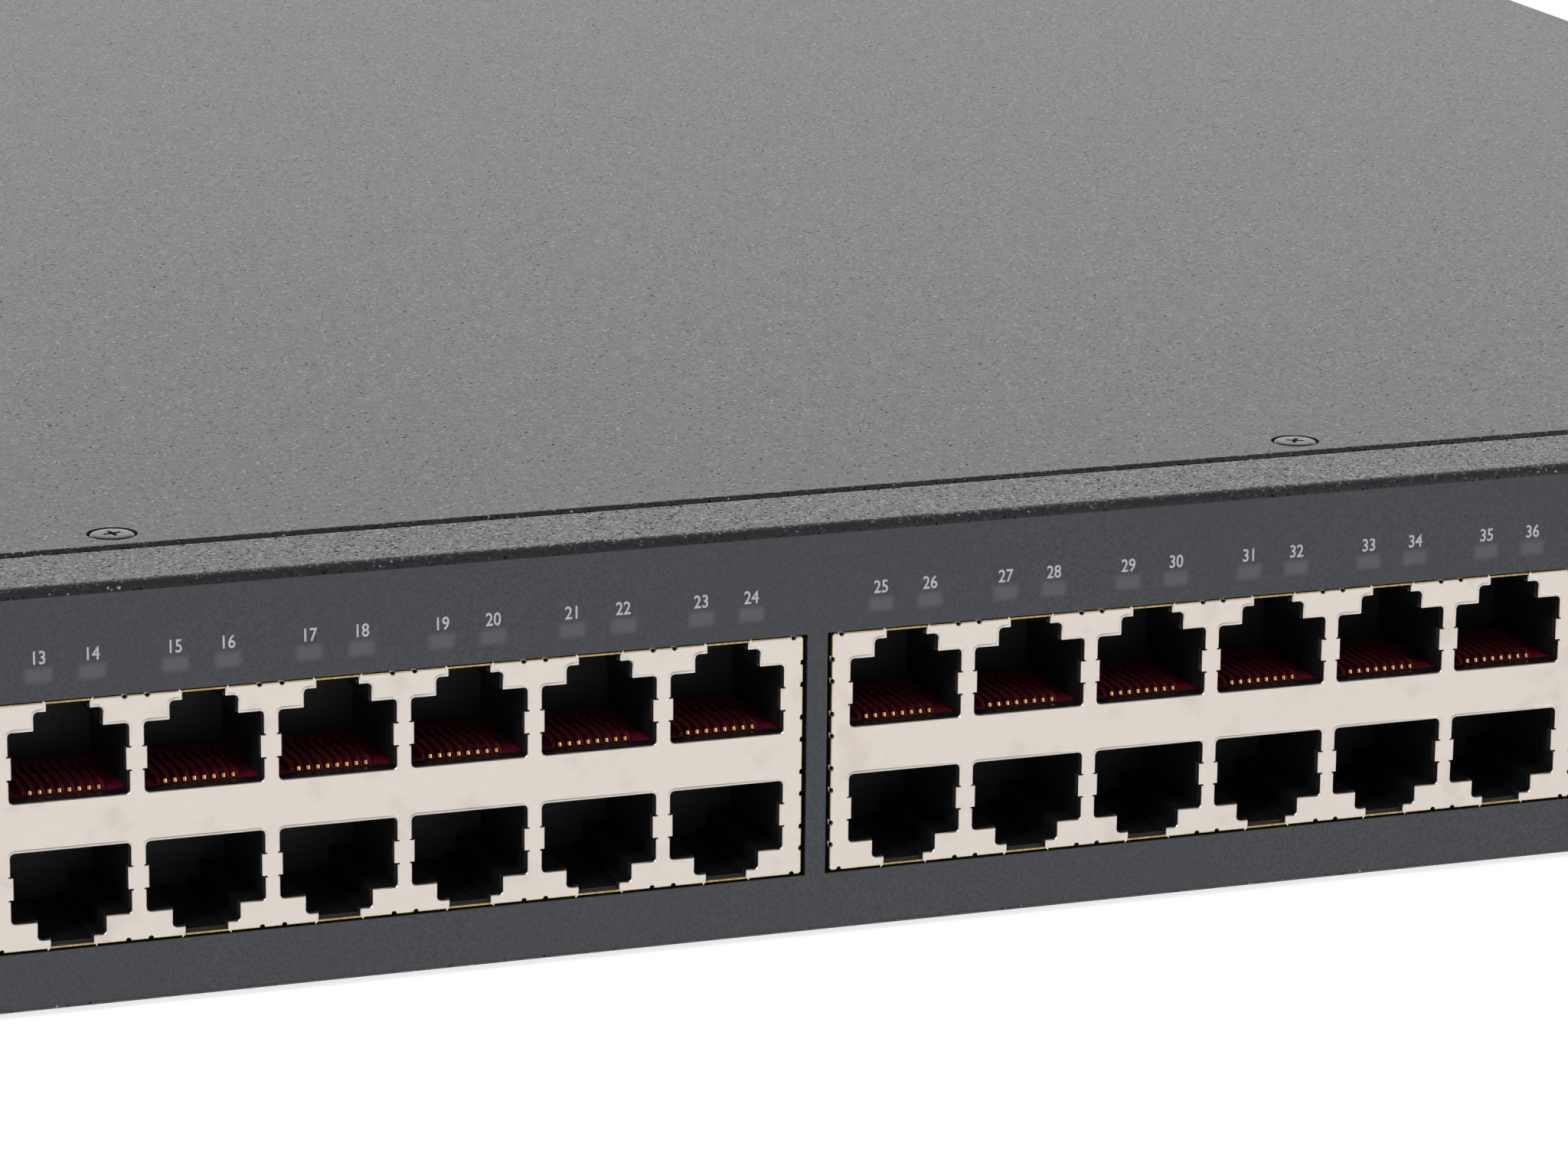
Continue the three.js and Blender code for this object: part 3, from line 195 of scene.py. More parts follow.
def powder_coat(name, lift, facet_share):
    """Baked polyester powder on steel: close grain, orange peel, pin craters and a very few pale flecks,
    which are partly painted glints.
    """
    finish, tree, shader, surface = start_finish(name, "#1e2022", 0.36)
    close = {"Vector": surface, "Scale": per_metre(0.42), "Detail": 4.0, "Roughness": 0.7}
    grain = add(tree, "TexNoise", close)
    orange_peel = add(tree, "TexNoise", {"Vector": surface, "Scale": per_metre(1.5), "Detail": 2.0})
    cells = add(tree, "TexVoronoi", {"Vector": surface, "Scale": per_metre(0.8), "Randomness": 1.0})
    pit = {"Value": cells.outputs["Distance"], "From Min": 0.10, "From Max": 0.26}
    crater = add(tree, "MapRange", pit, interpolation_type="SMOOTHSTEP").outputs[0]
    drift = add(tree, "TexNoise", {"Vector": surface, "Scale": per_metre(70), "Detail": 3.0})
    # A very few pale flecks: partly the coat's own pale specks, partly painted glints that stand in for the
    # powder grains' sparkle.
    glint_fleck_cells = add(tree, "TexVoronoi", {"Vector": surface, "Scale": per_metre(0.22)})
    draw = add(tree, "SeparateColor", {0: glint_fleck_cells.outputs["Color"]}).outputs[0]
    rare = {"Value": draw, "From Min": 0.9975, "From Max": 0.999}
    glint_fleck = add(tree, "MapRange", rare, interpolation_type="SMOOTHSTEP").outputs[0]
    tone = {0: drift.outputs[0], 6: linear("#1b1d1e"), 7: linear("#242628")}
    dark = add(tree, "Mix", tone, data_type="RGBA").outputs[2]
    glint_flecked = add(tree, "Mix", {0: glint_fleck, 6: dark, 7: linear("#8fa0a4")}, data_type="RGBA").outputs[2]
    tree.links.new(glint_flecked, shader.inputs["Base Color"])
    heights = ((grain.outputs[0], 0.9), (orange_peel.outputs[0], 0.5), (crater, 0.25))
    grained = raise_grain(tree, shader, heights, lift)
    # Single powder grains lie tilted in the coat, as small glossy facets that glint on the bends.
    # They are about 0.1 mm across, and are drawn at 0.26 mm so that they show.
    facets = add(tree, "TexVoronoi", {"Vector": surface, "Scale": per_metre(0.26)})
    lot = add(tree, "TexWhiteNoise", {"Vector": facets.outputs["Position"]}).outputs["Value"]
    tilted = add(tree, "Math", {0: lot, 1: 1 - facet_share}, operation="GREATER_THAN").outputs[0]
    spread = {0: facets.outputs["Color"], 1: (0.5, 0.5, 0.5)}
    lean = add(tree, "VectorMath", spread, operation="SUBTRACT")
    reach = add(tree, "Math", {0: tilted, 1: 1.5}, operation="MULTIPLY").outputs[0]
    tilt = add(tree, "VectorMath", {0: lean.outputs[0], "Scale": reach}, operation="SCALE").outputs[0]
    facing = add(tree, "VectorMath", {0: grained, 1: tilt}, operation="ADD").outputs[0]
    normal = add(tree, "VectorMath", {0: facing}, operation="NORMALIZE").outputs[0]
    tree.links.new(normal, shader.inputs["Normal"])
    worn = {"Value": grain.outputs[0], "From Min": 0.3, "From Max": 0.7, "To Min": 0.28, "To Max": 0.44}
    rough = add(tree, "MapRange", worn, interpolation_type="SMOOTHSTEP").outputs[0]
    glossy = add(tree, "Mix", {0: tilted, 2: rough, 3: 0.2}, data_type="FLOAT").outputs[0]
    tree.links.new(glossy, shader.inputs["Roughness"])
    return finish


def printed_film():
    """Satin polyester film, printed slate on its back: even colour, sand-fine grain, pale lamp windows."""
    finish, tree, shader, surface = start_finish("printed polyester film, satin grained", "#303136", 0.5)
    # The satin grain is about 0.1 mm, and is drawn at 0.3 mm so that it shows.
    satin = {"Vector": surface, "Scale": per_metre(0.3), "Detail": 2.0, "Roughness": 0.6}
    grain = add(tree, "TexNoise", satin)
    cloud = add(tree, "TexNoise", {"Vector": surface, "Scale": per_metre(18), "Detail": 2.0})
    window = add(tree, "Attribute", attribute_name="window").outputs["Fac"]
    sand = {"Value": grain.outputs[0], "From Min": 0.36, "From Max": 0.64}
    share = add(tree, "MapRange", sand, interpolation_type="LINEAR").outputs[0]
    fine = {0: share, 6: linear("#282a2e"), 7: linear("#45464c")}
    slate = add(tree, "Mix", fine, data_type="RGBA").outputs[2]
    wide = {0: cloud.outputs[0], 6: slate, 7: linear("#35363b")}
    clouded = add(tree, "Mix", wide, data_type="RGBA").outputs[2]
    shown = add(tree, "Mix", {0: window, 6: clouded, 7: linear("#505156")}, data_type="RGBA").outputs[2]
    tree.links.new(shown, shader.inputs["Base Color"])
    raise_grain(tree, shader, ((grain.outputs[0], 1.0),), 0.03)
    return finish


def tin_plate():
    """Tin on brass strip, rolled then stamped: warm satin metal with faint rolling lines and marks."""
    name = "tin plate on brass strip, rolled and stamped"
    finish, tree, shader, surface = start_finish(name, "#d9d0c8", 0.34, 1.0)
    rolling = add(tree, "Mapping", {"Vector": surface, "Scale": (1.0, 1.0, 14.0)})
    lines = add(tree, "TexNoise", {"Vector": rolling.outputs[0], "Scale": per_metre(2.2), "Detail": 3.0})
    handled = {"Vector": surface, "Scale": per_metre(5.0), "Detail": 3.0, "Roughness": 0.6}
    cloud = add(tree, "TexNoise", handled)
    patch = {"Value": cloud.outputs[0], "From Min": 0.52, "From Max": 0.75}
    mark = add(tree, "MapRange", patch, interpolation_type="SMOOTHSTEP").outputs[0]
    tone = {0: mark, 6: linear("#dcd3cb"), 7: linear("#d2c8bf")}
    warm = add(tree, "Mix", tone, data_type="RGBA").outputs[2]
    tree.links.new(warm, shader.inputs["Base Color"])
    rolled = {"Value": lines.outputs[0], "From Min": 0.35, "From Max": 0.65, "To Min": 0.28, "To Max": 0.38}
    rough = add(tree, "MapRange", rolled, interpolation_type="SMOOTHSTEP").outputs[0]
    tree.links.new(rough, shader.inputs["Roughness"])
    raise_grain(tree, shader, ((lines.outputs[0], 0.4), (cloud.outputs[0], 0.6)), 0.004)
    return finish


def plain_finish(name, colours, roughness, grain_size, grain_height, metallic=0.0, stretch=(1, 1, 1)):
    """A finish of two close colours over a grain of one real size, stretched along the way it was made."""
    first, second = colours
    finish, tree, shader, surface = start_finish(name, first, roughness, metallic)
    drawn = add(tree, "Mapping", {"Vector": surface, "Scale": stretch}).outputs[0]
    skin = {"Vector": drawn, "Scale": per_metre(grain_size), "Detail": 3.0, "Roughness": 0.6}
    grain = add(tree, "TexNoise", skin).outputs[0]
    spread = {"Value": grain, "From Min": 0.3, "From Max": 0.7}
    share = add(tree, "MapRange", spread, interpolation_type="SMOOTHSTEP").outputs[0]
    tones = {0: share, 6: linear(first), 7: linear(second)}
    mixed = add(tree, "Mix", tones, data_type="RGBA").outputs[2]
    tree.links.new(mixed, shader.inputs["Base Color"])
    ends = {"To Min": roughness * 0.85, "To Max": min(roughness * 1.2, 1.0)}
    rough = add(tree, "MapRange", {**spread, **ends}, interpolation_type="SMOOTHSTEP").outputs[0]
    tree.links.new(rough, shader.inputs["Roughness"])
    raise_grain(tree, shader, ((grain, 1.0),), grain_height)
    return finish


def make_finishes():
    """Every finish by the name of its material slot, and four that have no slot of their own."""
    return {
        "powder_coat": powder_coat("textured black powder coat, baked on steel", 0.045, 0.03),
        # The folded front panel took a thicker coat, so its grain stands higher.
        "thick_coat": powder_coat("textured black powder coat, thick on the front panel", 0.06, 0.22),
        "overlay_film": printed_film(),
        "tin_plate": tin_plate(),
        # Brass shows bare where the strip was sheared: a thin yellow line with drag marks across it.
        "cut_edge": plain_finish(
            "bare brass, sheared edge",
            ("#c4b070", "#a08a4c"), 0.35, 0.4, 0.01, 1.0,
        ),
        # Glass-filled nylon from a sparked mould: nearly black, with a dull even skin.
        "black_moulding": plain_finish(
            "glass-filled nylon, moulded black",
            ("#0b0b0d", "#121214"), 0.45, 0.5, 0.01,
        ),
        # The same nylon coloured maroon, a little glossier.
        "maroon_moulding": plain_finish(
            "glass-filled nylon, moulded maroon",
            ("#5f1022", "#72182c"), 0.36, 0.6, 0.01,
        ),
        # Phosphor bronze wire with hard gold over nickel: small, bright and yellow.
        "gold_contact": plain_finish(
            "gold plate on bronze wire, drawn",
            ("#e8c877", "#d9b35a"), 0.2, 0.5, 0.004, 1.0,
        ),
        # Clear polycarbonate: glossy, with a faint milkiness from the mould.
        "clear_moulding": plain_finish(
            "polycarbonate, moulded clear",
            ("#b9bfc4", "#c8ccd0"), 0.15, 1.5, 0.004,
        ),
        # Solder mask over copper and glass cloth: green with the weave's faint relief.
        "circuit_board": plain_finish(
            "solder mask on glass epoxy, printed",
            ("#155030", "#1c6a3c"), 0.35, 1.2, 0.02,
        ),
        # Extrusion leaves fine lines along the fins.
        "aluminium": plain_finish(
            "aluminium, extruded",
            ("#b4b7ba", "#9fa3a7"), 0.35, 0.8, 0.02, 1.0, (1, 0.06, 1),
        ),
        # Zinc plate on rolled strip: cool, bright and slightly streaked.
        "zinc_steel": plain_finish(
            "zinc plate on steel strip, rolled",
            ("#b2b5b8", "#989ca1"), 0.3, 1.6, 0.01, 1.0, (1, 0.12, 1),
        ),
        # Black zinc over a rolled thread and a cold-formed head: dark, faintly shiny metal.
        "black_steel": plain_finish(
            "black zinc on steel, cold formed",
            ("#505256", "#3c3e42"), 0.28, 0.35, 0.01, 1.0,
        ),
        # Epoxy moulding compound: matt charcoal with fine filler grain.
        "chip_resin": plain_finish(
            "epoxy compound, transfer moulded",
            ("#1a1b1d", "#232426"), 0.6, 0.25, 0.01,
        ),
        # Pressed and sintered ferrite under polyester tape.
        "ferrite": plain_finish(
            "ferrite, pressed and sintered",
            ("#2b2824", "#3a352f"), 0.7, 0.4, 0.02,
        ),
        # Compression-moulded rubber: matt black with a soft bloom.
        "rubber": plain_finish(
            "rubber, compression moulded",
            ("#121212", "#1c1c1b"), 0.85, 0.5, 0.03,
        ),
        # Polypropylene, moulded: soft black sheen.
        "plug_moulding": plain_finish(
            "polypropylene, moulded black",
            ("#17181a", "#1f2022"), 0.5, 0.7, 0.012,
        ),
        # PVC wire insulation, extruded: smooth dark red.
        "wire_jacket": plain_finish(
            "vinyl wire insulation, extruded",
            ("#8a1a1c", "#9c2426"), 0.45, 1.0, 0.01,
        ),
        # Nickel on brass blades: warm bright metal, brushed along the blade.
        "nickel_brass": plain_finish(
            "nickel on brass, pressed",
            ("#c3bbab", "#afa796"), 0.25, 0.6, 0.008, 1.0, (1, 0.1, 1),
        ),
        # Screen ink: flat light grey.
        "number_ink": plain_finish("screen ink, printed", ("#bfc1c4", "#b2b4b8"), 0.6, 0.3, 0.003),
    }


def dress_solids(finishes):
    """Gives each carried-over solid the finish of its material slot."""
    for part in frame["record"]["subparts"]:
        solid = nodes[part["node"]]
        solid.data.materials.clear()
        solid.data.materials.append(finishes[part["material_slot"]])
    nodes["front_panel"].data.materials[0] = finishes["thick_coat"]


# ---------------------------------------------------------------- shapes
CORNER_STEPS = 3  # points to a rounded corner


def rounded(corners, grow=0.0):
    """An outline of (a, b, radius) corners, anticlockwise, moved outwards by grow."""
    points = []
    count = len(corners)
    for index, (a, b, radius) in enumerate(corners):
        here = Vector((a, b))
        came = (here - Vector(corners[index - 1][:2])).normalized()
        goes = (Vector(corners[(index + 1) % count][:2]) - here).normalized()
        out_before = Vector((came.y, -came.x))
        out_after = Vector((goes.y, -goes.x))
        tip = here + (out_before + out_after) * (grow / (1 + out_before.dot(out_after)))
        turn = came.x * goes.y - came.y * goes.x
        bend = max(radius + grow if turn > 0 else radius - grow, 0.0)
        if radius == 0 or bend < 1e-6 or abs(turn) < 1e-6:
            points += [tip.copy() for _ in range(CORNER_STEPS)]
            continue
        angle = math.atan2(turn, came.dot(goes))
        reach = bend * math.tan(abs(angle) / 2)
        start = tip - came * reach
        side = Vector((-came.y, came.x)) * (1 if turn > 0 else -1)
        centre = start + side * bend
        arm = start - centre
        for step in range(CORNER_STEPS):
            part = angle * step / (CORNER_STEPS - 1)
            cos, sin = math.cos(part), math.sin(part)
            points.append(centre + Vector((arm.x * cos - arm.y * sin, arm.x * sin + arm.y * cos)))
    return points


def upright(points, y):
    """Points of an x-z outline at depth y."""
    return [Vector((p.x, y, p.y)) for p in points]


def flat(points, z):
    """Points of an x-y outline at height z."""
    return [Vector((p.x, p.y, z)) for p in points]


def loft(shape, rings, cap_first=True, cap_last=True):
    """Joins rings of the same number of points into one skin, and closes its ends."""
    lines = [[shape.verts.new(p) for p in ring] for ring in rings]
    count = len(lines[0])
    for low, high in zip(lines, lines[1:]):
        for i in range(count):
            j = (i + 1) % count
            shape.faces.new((low[i], low[j], high[j], high[i]))
    if cap_first:
        shape.faces.new(list(reversed(lines[0])))
    if cap_last:
        shape.faces.new(lines[-1])
    return lines


def circle(radius, sides):
    """Points of a circle round the origin."""
    turns = [2 * math.pi * i / sides for i in range(sides)]
    return [Vector((radius * math.cos(turn), radius * math.sin(turn))) for turn in turns]


def tube(shape, path, radius, sides=6):
    """A round wire along a path of points in one plane across x."""
    rings = []
    for index, point in enumerate(path):
        before = path[max(index - 1, 0)]
        after = path[min(index + 1, len(path) - 1)]
        ahead = (after - before).normalized()
        up = Vector((1, 0, 0)).cross(ahead).normalized()
        ring = []
        for i in range(sides):
            turn = 2 * math.pi * (i + 0.5) / sides
            across = Vector((1, 0, 0)) * radius * math.cos(turn)
            ring.append(point + across + up * radius * math.sin(turn))
        rings.append(ring)
    loft(shape, rings)


def make_piece(name, shape, finish, body=CHASSIS, place=None, smooth=None, second=None):
    """Turns a shape in millimetres into a piece that rides on a body and takes a finish."""
    bmesh.ops.remove_doubles(shape, verts=shape.verts, dist=0.0005)
    bmesh.ops.recalc_face_normals(shape, faces=shape.faces)
    mesh = bpy.data.meshes.new(name)
    shape.to_mesh(mesh)
    mesh.transform(UNIT @ (place or Matrix.Identity(4)))
    mesh.materials.append(finish)
    if second:
        mesh.materials.append(second)
    if smooth is not None:
        mesh.shade_smooth()
        mesh.set_sharp_from_angle(angle=math.radians(smooth))
    piece = bpy.data.objects.new(name, mesh)
    bpy.context.collection.objects.link(piece)
    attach(piece, body)
    return piece


# ---------------------------------------------------------------- jack shields
COLUMN_PITCH = 13.97
COLUMNS = [(column - 2.5) * COLUMN_PITCH for column in range(6)]
ROW_BASE = 2.6  # from the middle of a block to the contact side of an opening
OPENING_HALF = 6.2  # half widths and rises of an opening's plug, shoulder and latch steps
OPENING_RISE = 7.37
SHOULDER_HALF = 3.53
SHOULDER_RISE = OPENING_RISE + 1.93
LATCH_HALF = 2.21
TAB_LOW, TAB_HIGH = 2.5, 4.85  # the ground tab's slits, from the contact side of the opening
SLIT = 0.15  # width of such a slit
SLIT_DEPTH = 0.2
TAB_PROUD = 0.24  # the tab stands this far into the opening
SHEET = 0.3
WALL = 0.18  # the strip thins where it is folded
NOTCH = 0.27  # radius of the half-round notches in the shield's edges
WALL_FRONT = 0.06  # the shield's folded walls end this far behind its face
FACE_INSET = 0.05  # so their cut edges show round the face
NOTCH_RUN = 0.7  # a notch runs this far back into the folded wall
SIDE_NOTCHES = (1.75, 4.15, 7.7, 10.08)  # above and below the middle of the shield
EDGE_CLEAR = 1.0  # a side notch keeps this far from the corner
END_NOTCH = 1.0  # from the shield's corner
RIB_NOTCH = 1.17  # each side of the rib between two openings
FLOOR_DEPTH = 3.5  # a block's floor is cut away behind this, where its pins come out
CONSOLE_BASE = 2.0  # from the console shield's latch side to its opening's contact side
HALF_TURN = Matrix.Rotation(math.pi, 4, "Y")


def notch(x, z, along):
    """Corners of a half-round notch met while going one way along an edge."""
    way = Vector(along)
    inwards = Vector((-way.y, way.x))
    corners = []
    for step in range(6):
        angle = math.pi * step / 5
        spot = Vector((x, z)) - way * NOTCH * math.cos(angle) + inwards * NOTCH * math.sin(angle)
        corners.append((spot.x, spot.y, 0))
    return corners


def inlet_corners(x, base, edge):
    """Corners of one opening as the face's outline goes in from its edge, round and out again."""
    wide = OPENING_HALF
    right = [
        (LATCH_HALF, edge, 0.08),
        (LATCH_HALF, base + SHOULDER_RISE, 0.12),
        (SHOULDER_HALF, base + SHOULDER_RISE, 0.4),
        (SHOULDER_HALF, base + OPENING_RISE, 0.12),
        (wide, base + OPENING_RISE, 0.35),
        (wide, base + TAB_HIGH + SLIT, 0),
        (wide + SLIT_DEPTH, base + TAB_HIGH + SLIT, 0),
        (wide + SLIT_DEPTH, base + TAB_HIGH, 0),
        (wide - TAB_PROUD, base + TAB_HIGH, 0.08),
        (wide - TAB_PROUD, base + TAB_LOW, 0.08),
        (wide + SLIT_DEPTH, base + TAB_LOW, 0),
        (wide + SLIT_DEPTH, base + TAB_LOW - SLIT, 0),
        (wide, base + TAB_LOW - SLIT, 0),
        (wide, base, 0.4),
    ]
    left = [(-a, b, radius) for a, b, radius in reversed(right)]
    return [(x + a, b, radius) for a, b, radius in right + left]


def side_notches(half_height):
    """Heights of the notches that fit on the side of a shield this high."""
    return [z for z in SIDE_NOTCHES if z < half_height - EDGE_CLEAR]


def half_face(half_width, half_height, columns, base):
    """Corners of a shield's face from the middle of its right edge, over the top, to its left edge."""
    up = side_notches(half_height)
    corners = [entry for z in up for entry in notch(half_width, z, (0, 1))]
    corners.append((half_width, half_height, 0.2))
    corners += notch(half_width - END_NOTCH, half_height, (-1, 0))
    for x in reversed(columns):
        corners += inlet_corners(x, base, half_height)
        if x != columns[0]:
            for side in (RIB_NOTCH, -RIB_NOTCH):
                corners += notch(x - COLUMN_PITCH / 2 + side, half_height, (-1, 0))
    corners += notch(END_NOTCH - half_width, half_height, (-1, 0))
    corners.append((-half_width, half_height, 0.2))
    corners += [entry for z in reversed(up) for entry in notch(-half_width, z, (0, -1))]
    return corners


def face_plate(shape, corners):
    """The shield's face: a sheet whose front edges are rolled over by the punch."""
    rings = [upright(rounded(corners), SHEET)]
    for grow, y in ((0, 0.09), (-0.025, 0.025), (-0.09, 0), (-0.13, 0)):
        rings.append(upright(rounded(corners, grow), y))
    loft(shape, rings)


def opening_rim(shape, x, base, edge):
    """The coined ridge round an opening, broken at its ground tabs and its latch slot."""
    right = [
        (OPENING_HALF, base, 0.4),
        (OPENING_HALF, base + TAB_LOW - SLIT, 0),
        (OPENING_HALF, base + TAB_HIGH + SLIT, 0),
        (OPENING_HALF, base + OPENING_RISE, 0.35),
        (SHOULDER_HALF, base + OPENING_RISE, 0.12),
        (SHOULDER_HALF, base + SHOULDER_RISE, 0.4),
        (LATCH_HALF, base + SHOULDER_RISE, 0.12),
        (LATCH_HALF, edge - 0.1, 0),
    ]
    left = [(-a, b, radius) for a, b, radius in reversed(right)]
    corners = [(x + a, b, radius) for a, b, radius in right + left]
    crown = (
        (0.03, 0.12), (0.03, 0.02), (0.09, -0.045), (0.18, -0.06), (0.28, -0.035), (0.36, 0.02), (0.3, 0.12),
    )
    lines = [upright(rounded(corners, grow), y) for grow, y in crown]
    top = 3  # the highest of the crown's lines
    # Each stretch of the ridge goes from one of the outline's corners to another.
    for first, last in ((2, 7), (8, 13), (14, 17)):
        rings = []
        for index in range(first * CORNER_STEPS + 1, last * CORNER_STEPS + 2):
            ring = [line[index % len(line)] for line in lines]
            if not rings or (ring[top] - rings[-1][top]).length > 0.01:
                rings.append(ring)
        loft(shape, rings)


def ground_tabs(shape, x, base):
    """The two sprung tabs of an opening, bent inwards along its sides."""
    clear = 0.02
    bend = (
        (6.2, 0.05), (5.98, 0.03), (5.9, 0.1), (5.86, 0.28),
        (5.93, 1.1), (6.02, 1.1), (6.02, 0.32), (6.2, 0.3),
    )
    for side in (-1, 1):
        points = [Vector((x + side * a, y)) for a, y in bend]
        loft(shape, [flat(points, base + TAB_LOW + clear), flat(points, base + TAB_HIGH - clear)])


def folded_wall(shape, reach, depth, notches, place):
    """A wall folded back from the face along x, notched where the face is, and turned into its place."""
    points = [Vector((-reach, WALL_FRONT))]
    for x in sorted(notches):
        points += [Vector((x - NOTCH, WALL_FRONT)), Vector((x - NOTCH, NOTCH_RUN))]
        points += [Vector((x + NOTCH, NOTCH_RUN)), Vector((x + NOTCH, WALL_FRONT))]
    points += [Vector((reach, WALL_FRONT)), Vector((reach, depth)), Vector((-reach, depth))]
    rings = [[place @ point for point in flat(points, z)] for z in (-WALL, 0)]
    loft(shape, rings)


def fold_walls(shape, half_width, half_height, depth, columns, floor_depth):
    """Top, floor and side walls, and the closed back."""
    ribs = [x + COLUMN_PITCH / 2 + side for x in columns[:-1] for side in (RIB_NOTCH, -RIB_NOTCH)]
    along = ribs + [half_width - END_NOTCH, END_NOTCH - half_width]
    level = Matrix.Translation((0, 0, half_height))
    under = Matrix.Translation((0, 0, -half_height)) @ Matrix.Rotation(math.pi, 4, "Y")
    folded_wall(shape, half_width, depth, along, level)
    folded_wall(shape, half_width, floor_depth, along if floor_depth < depth else [], under)
    up = side_notches(half_height)
    beside = up + [-z for z in up] if floor_depth < depth else []
    for side in (-1, 1):
        quarter = Matrix.Rotation(side * math.pi / 2, 4, "Y")
        turn = Matrix.Translation((side * half_width, 0, 0)) @ quarter
        folded_wall(shape, half_height, depth, beside, turn)
    back = bmesh.ops.create_cube(shape, size=1.0)["verts"]
    bmesh.ops.scale(shape, vec=(2 * half_width, SHEET, 2 * half_height), verts=back)
    bmesh.ops.translate(shape, vec=(0, depth - SHEET / 2, 0), verts=back)


def mark_cut_edges(shape):
    """The walls' front edges take the second finish, bare brass."""
    for face in shape.faces:
        if all(abs(vert.co.y - WALL_FRONT) < 0.001 for vert in face.verts):
            face.material_index = 1


def turn_over(shape):
    """Repeats everything half a turn round the block's middle, which makes the lower row."""
    made = bmesh.ops.duplicate(shape, geom=shape.verts[:] + shape.edges[:] + shape.faces[:])["geom"]
    verts = [item for item in made if isinstance(item, bmesh.types.BMVert)]
    bmesh.ops.transform(shape, matrix=HALF_TURN, verts=verts)


def block_shield(low, high):
    """A stacked block's shield: twelve openings, folded top and side walls, closed back."""
    half_width, depth, half_height = (high.x - low.x) / 2, high.y - low.y, (high.z - low.z) / 2
    shape = bmesh.new()
    for x in COLUMNS:
        opening_rim(shape, x, ROW_BASE, half_height - FACE_INSET)
        ground_tabs(shape, x, ROW_BASE)
    turn_over(shape)
    upper = half_face(half_width - FACE_INSET, half_height - FACE_INSET, COLUMNS, ROW_BASE)
    face_plate(shape, upper + [(-x, -z, radius) for x, z, radius in upper])
    fold_walls(shape, half_width, half_height, depth, COLUMNS, FLOOR_DEPTH)
    mark_cut_edges(shape)
    return shape


def console_shield(low, high):
    """The console jack's shield: one opening, latch downwards."""
    half_width, depth, half_height = (high.x - low.x) / 2, high.y - low.y, (high.z - low.z) / 2
    base = CONSOLE_BASE - half_height
    shape = bmesh.new()
    opening_rim(shape, 0, base, half_height - FACE_INSET)
    ground_tabs(shape, 0, base)
    upper = half_face(half_width - FACE_INSET, half_height - FACE_INSET, [0], base)
    edge = half_width - FACE_INSET
    floor = [(side * edge, FACE_INSET - half_height, 0.2) for side in (-1, 1)]
    face_plate(shape, upper + floor)
    fold_walls(shape, half_width, half_height, depth, [0], depth)
    mark_cut_edges(shape)
    return shape


CONTACT_PITCH = 1.016
WIRE_RADIUS = 0.19
RIB_HALF = 0.22


def contact_wires(shape, x, base):
    """Eight sprung wires of one jack: a bend at the front of the carrier, then back and up."""
    bend = ((2.9, -0.1), (2.5, 0.03), (2.28, 0.22), (2.36, 0.4), (2.75, 0.46), (4.5, 0.4), (8.5, 0.3))
    for wire in range(8):
        wire_x = x + (wire - 3.5) * CONTACT_PITCH
        tube(shape, [Vector((wire_x, y, base + z)) for y, z in bend], WIRE_RADIUS)


def comb_ribs(shape, x, base):
    """The carrier's ribs, which keep the wires apart."""
    for rib in range(9):
        rib_x = x + (rib - 4) * CONTACT_PITCH
        side = ((2.7, -0.05), (12, -0.05), (12, 0.6), (3.4, 0.6), (2.7, 0.25))
        rings = [[Vector((rib_x + half, y, base + z)) for y, z in side] for half in (-RIB_HALF, RIB_HALF)]
        loft(shape, rings)


def fit_jacks(finishes):
    """Shields, contact wires and ribs of the four stacked blocks, and the console jack's."""
    inner = (
        ("contact_wires", contact_wires, "gold_contact", "nickel_brass"),
        ("comb_ribs", comb_ribs, "maroon_moulding", "maroon_moulding"),
    )
    for index in range(1, 5):
        low, high = span(f"jack_shield_{index}")
        middle = Matrix.Translation(((low.x + high.x) / 2, 0, (low.z + high.z) / 2))
        shield = make_piece(
            f"stacked_shield_{index}", block_shield(low, high), finishes["tin_plate"],
            place=middle, smooth=35, second=finishes["cut_edge"],
        )
        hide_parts(f"jack_shield_{index}")
        for name, draw, finish, slot in inner:
            shape = bmesh.new()
            for x in COLUMNS:
                draw(shape, x, ROW_BASE)
            turn_over(shape)
            make_piece(f"{name}_{index}", shape, finishes[finish], place=middle, smooth=50)
    low, high = span("console_shield")
    middle = Matrix.Translation(((low.x + high.x) / 2, 0, (low.z + high.z) / 2)) @ HALF_TURN
    shield = make_piece(
        "console_jack_shield", console_shield(low, high), finishes["tin_plate"],
        place=middle, smooth=35, second=finishes["cut_edge"],
    )
    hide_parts("console_shield")
    wires = bmesh.new()
    contact_wires(wires, 0, CONSOLE_BASE - (high.z - low.z) / 2)
    make_piece(
        "console_contact_wires", wires, finishes["gold_contact"],
        place=middle, smooth=50,
    )


# ---------------------------------------------------------------- printed numbers and lamp windows
LAMP_WIDTH, LAMP_HEIGHT = 2.65, 1.47
LAMP_OFFSET, LAMP_SHIFT = 2.74, -0.2  # half the way between a column's two lamps, and their shift
LAMP_Z = span("jack_shield_1")[1].z + 2.82
NUMBER_Z = LAMP_Z + 1.85
NUMBER_CAP, NUMBER_PAIR = 1.41, 1.61  # height of a figure, width of two
STATUS_PITCH = 4.4
SOFT = 0.32  # half the width of a lamp window's soft edge


def lamp_places():
    """The middle of every port's lamp, in the order of the ports."""
    places = []
    for index in range(1, 5):
        low, high = span(f"jack_shield_{index}")
        for x in COLUMNS:
            for side in (-1, 1):
                places.append((low.x + high.x) / 2 + x + LAMP_SHIFT + side * LAMP_OFFSET)
    return places


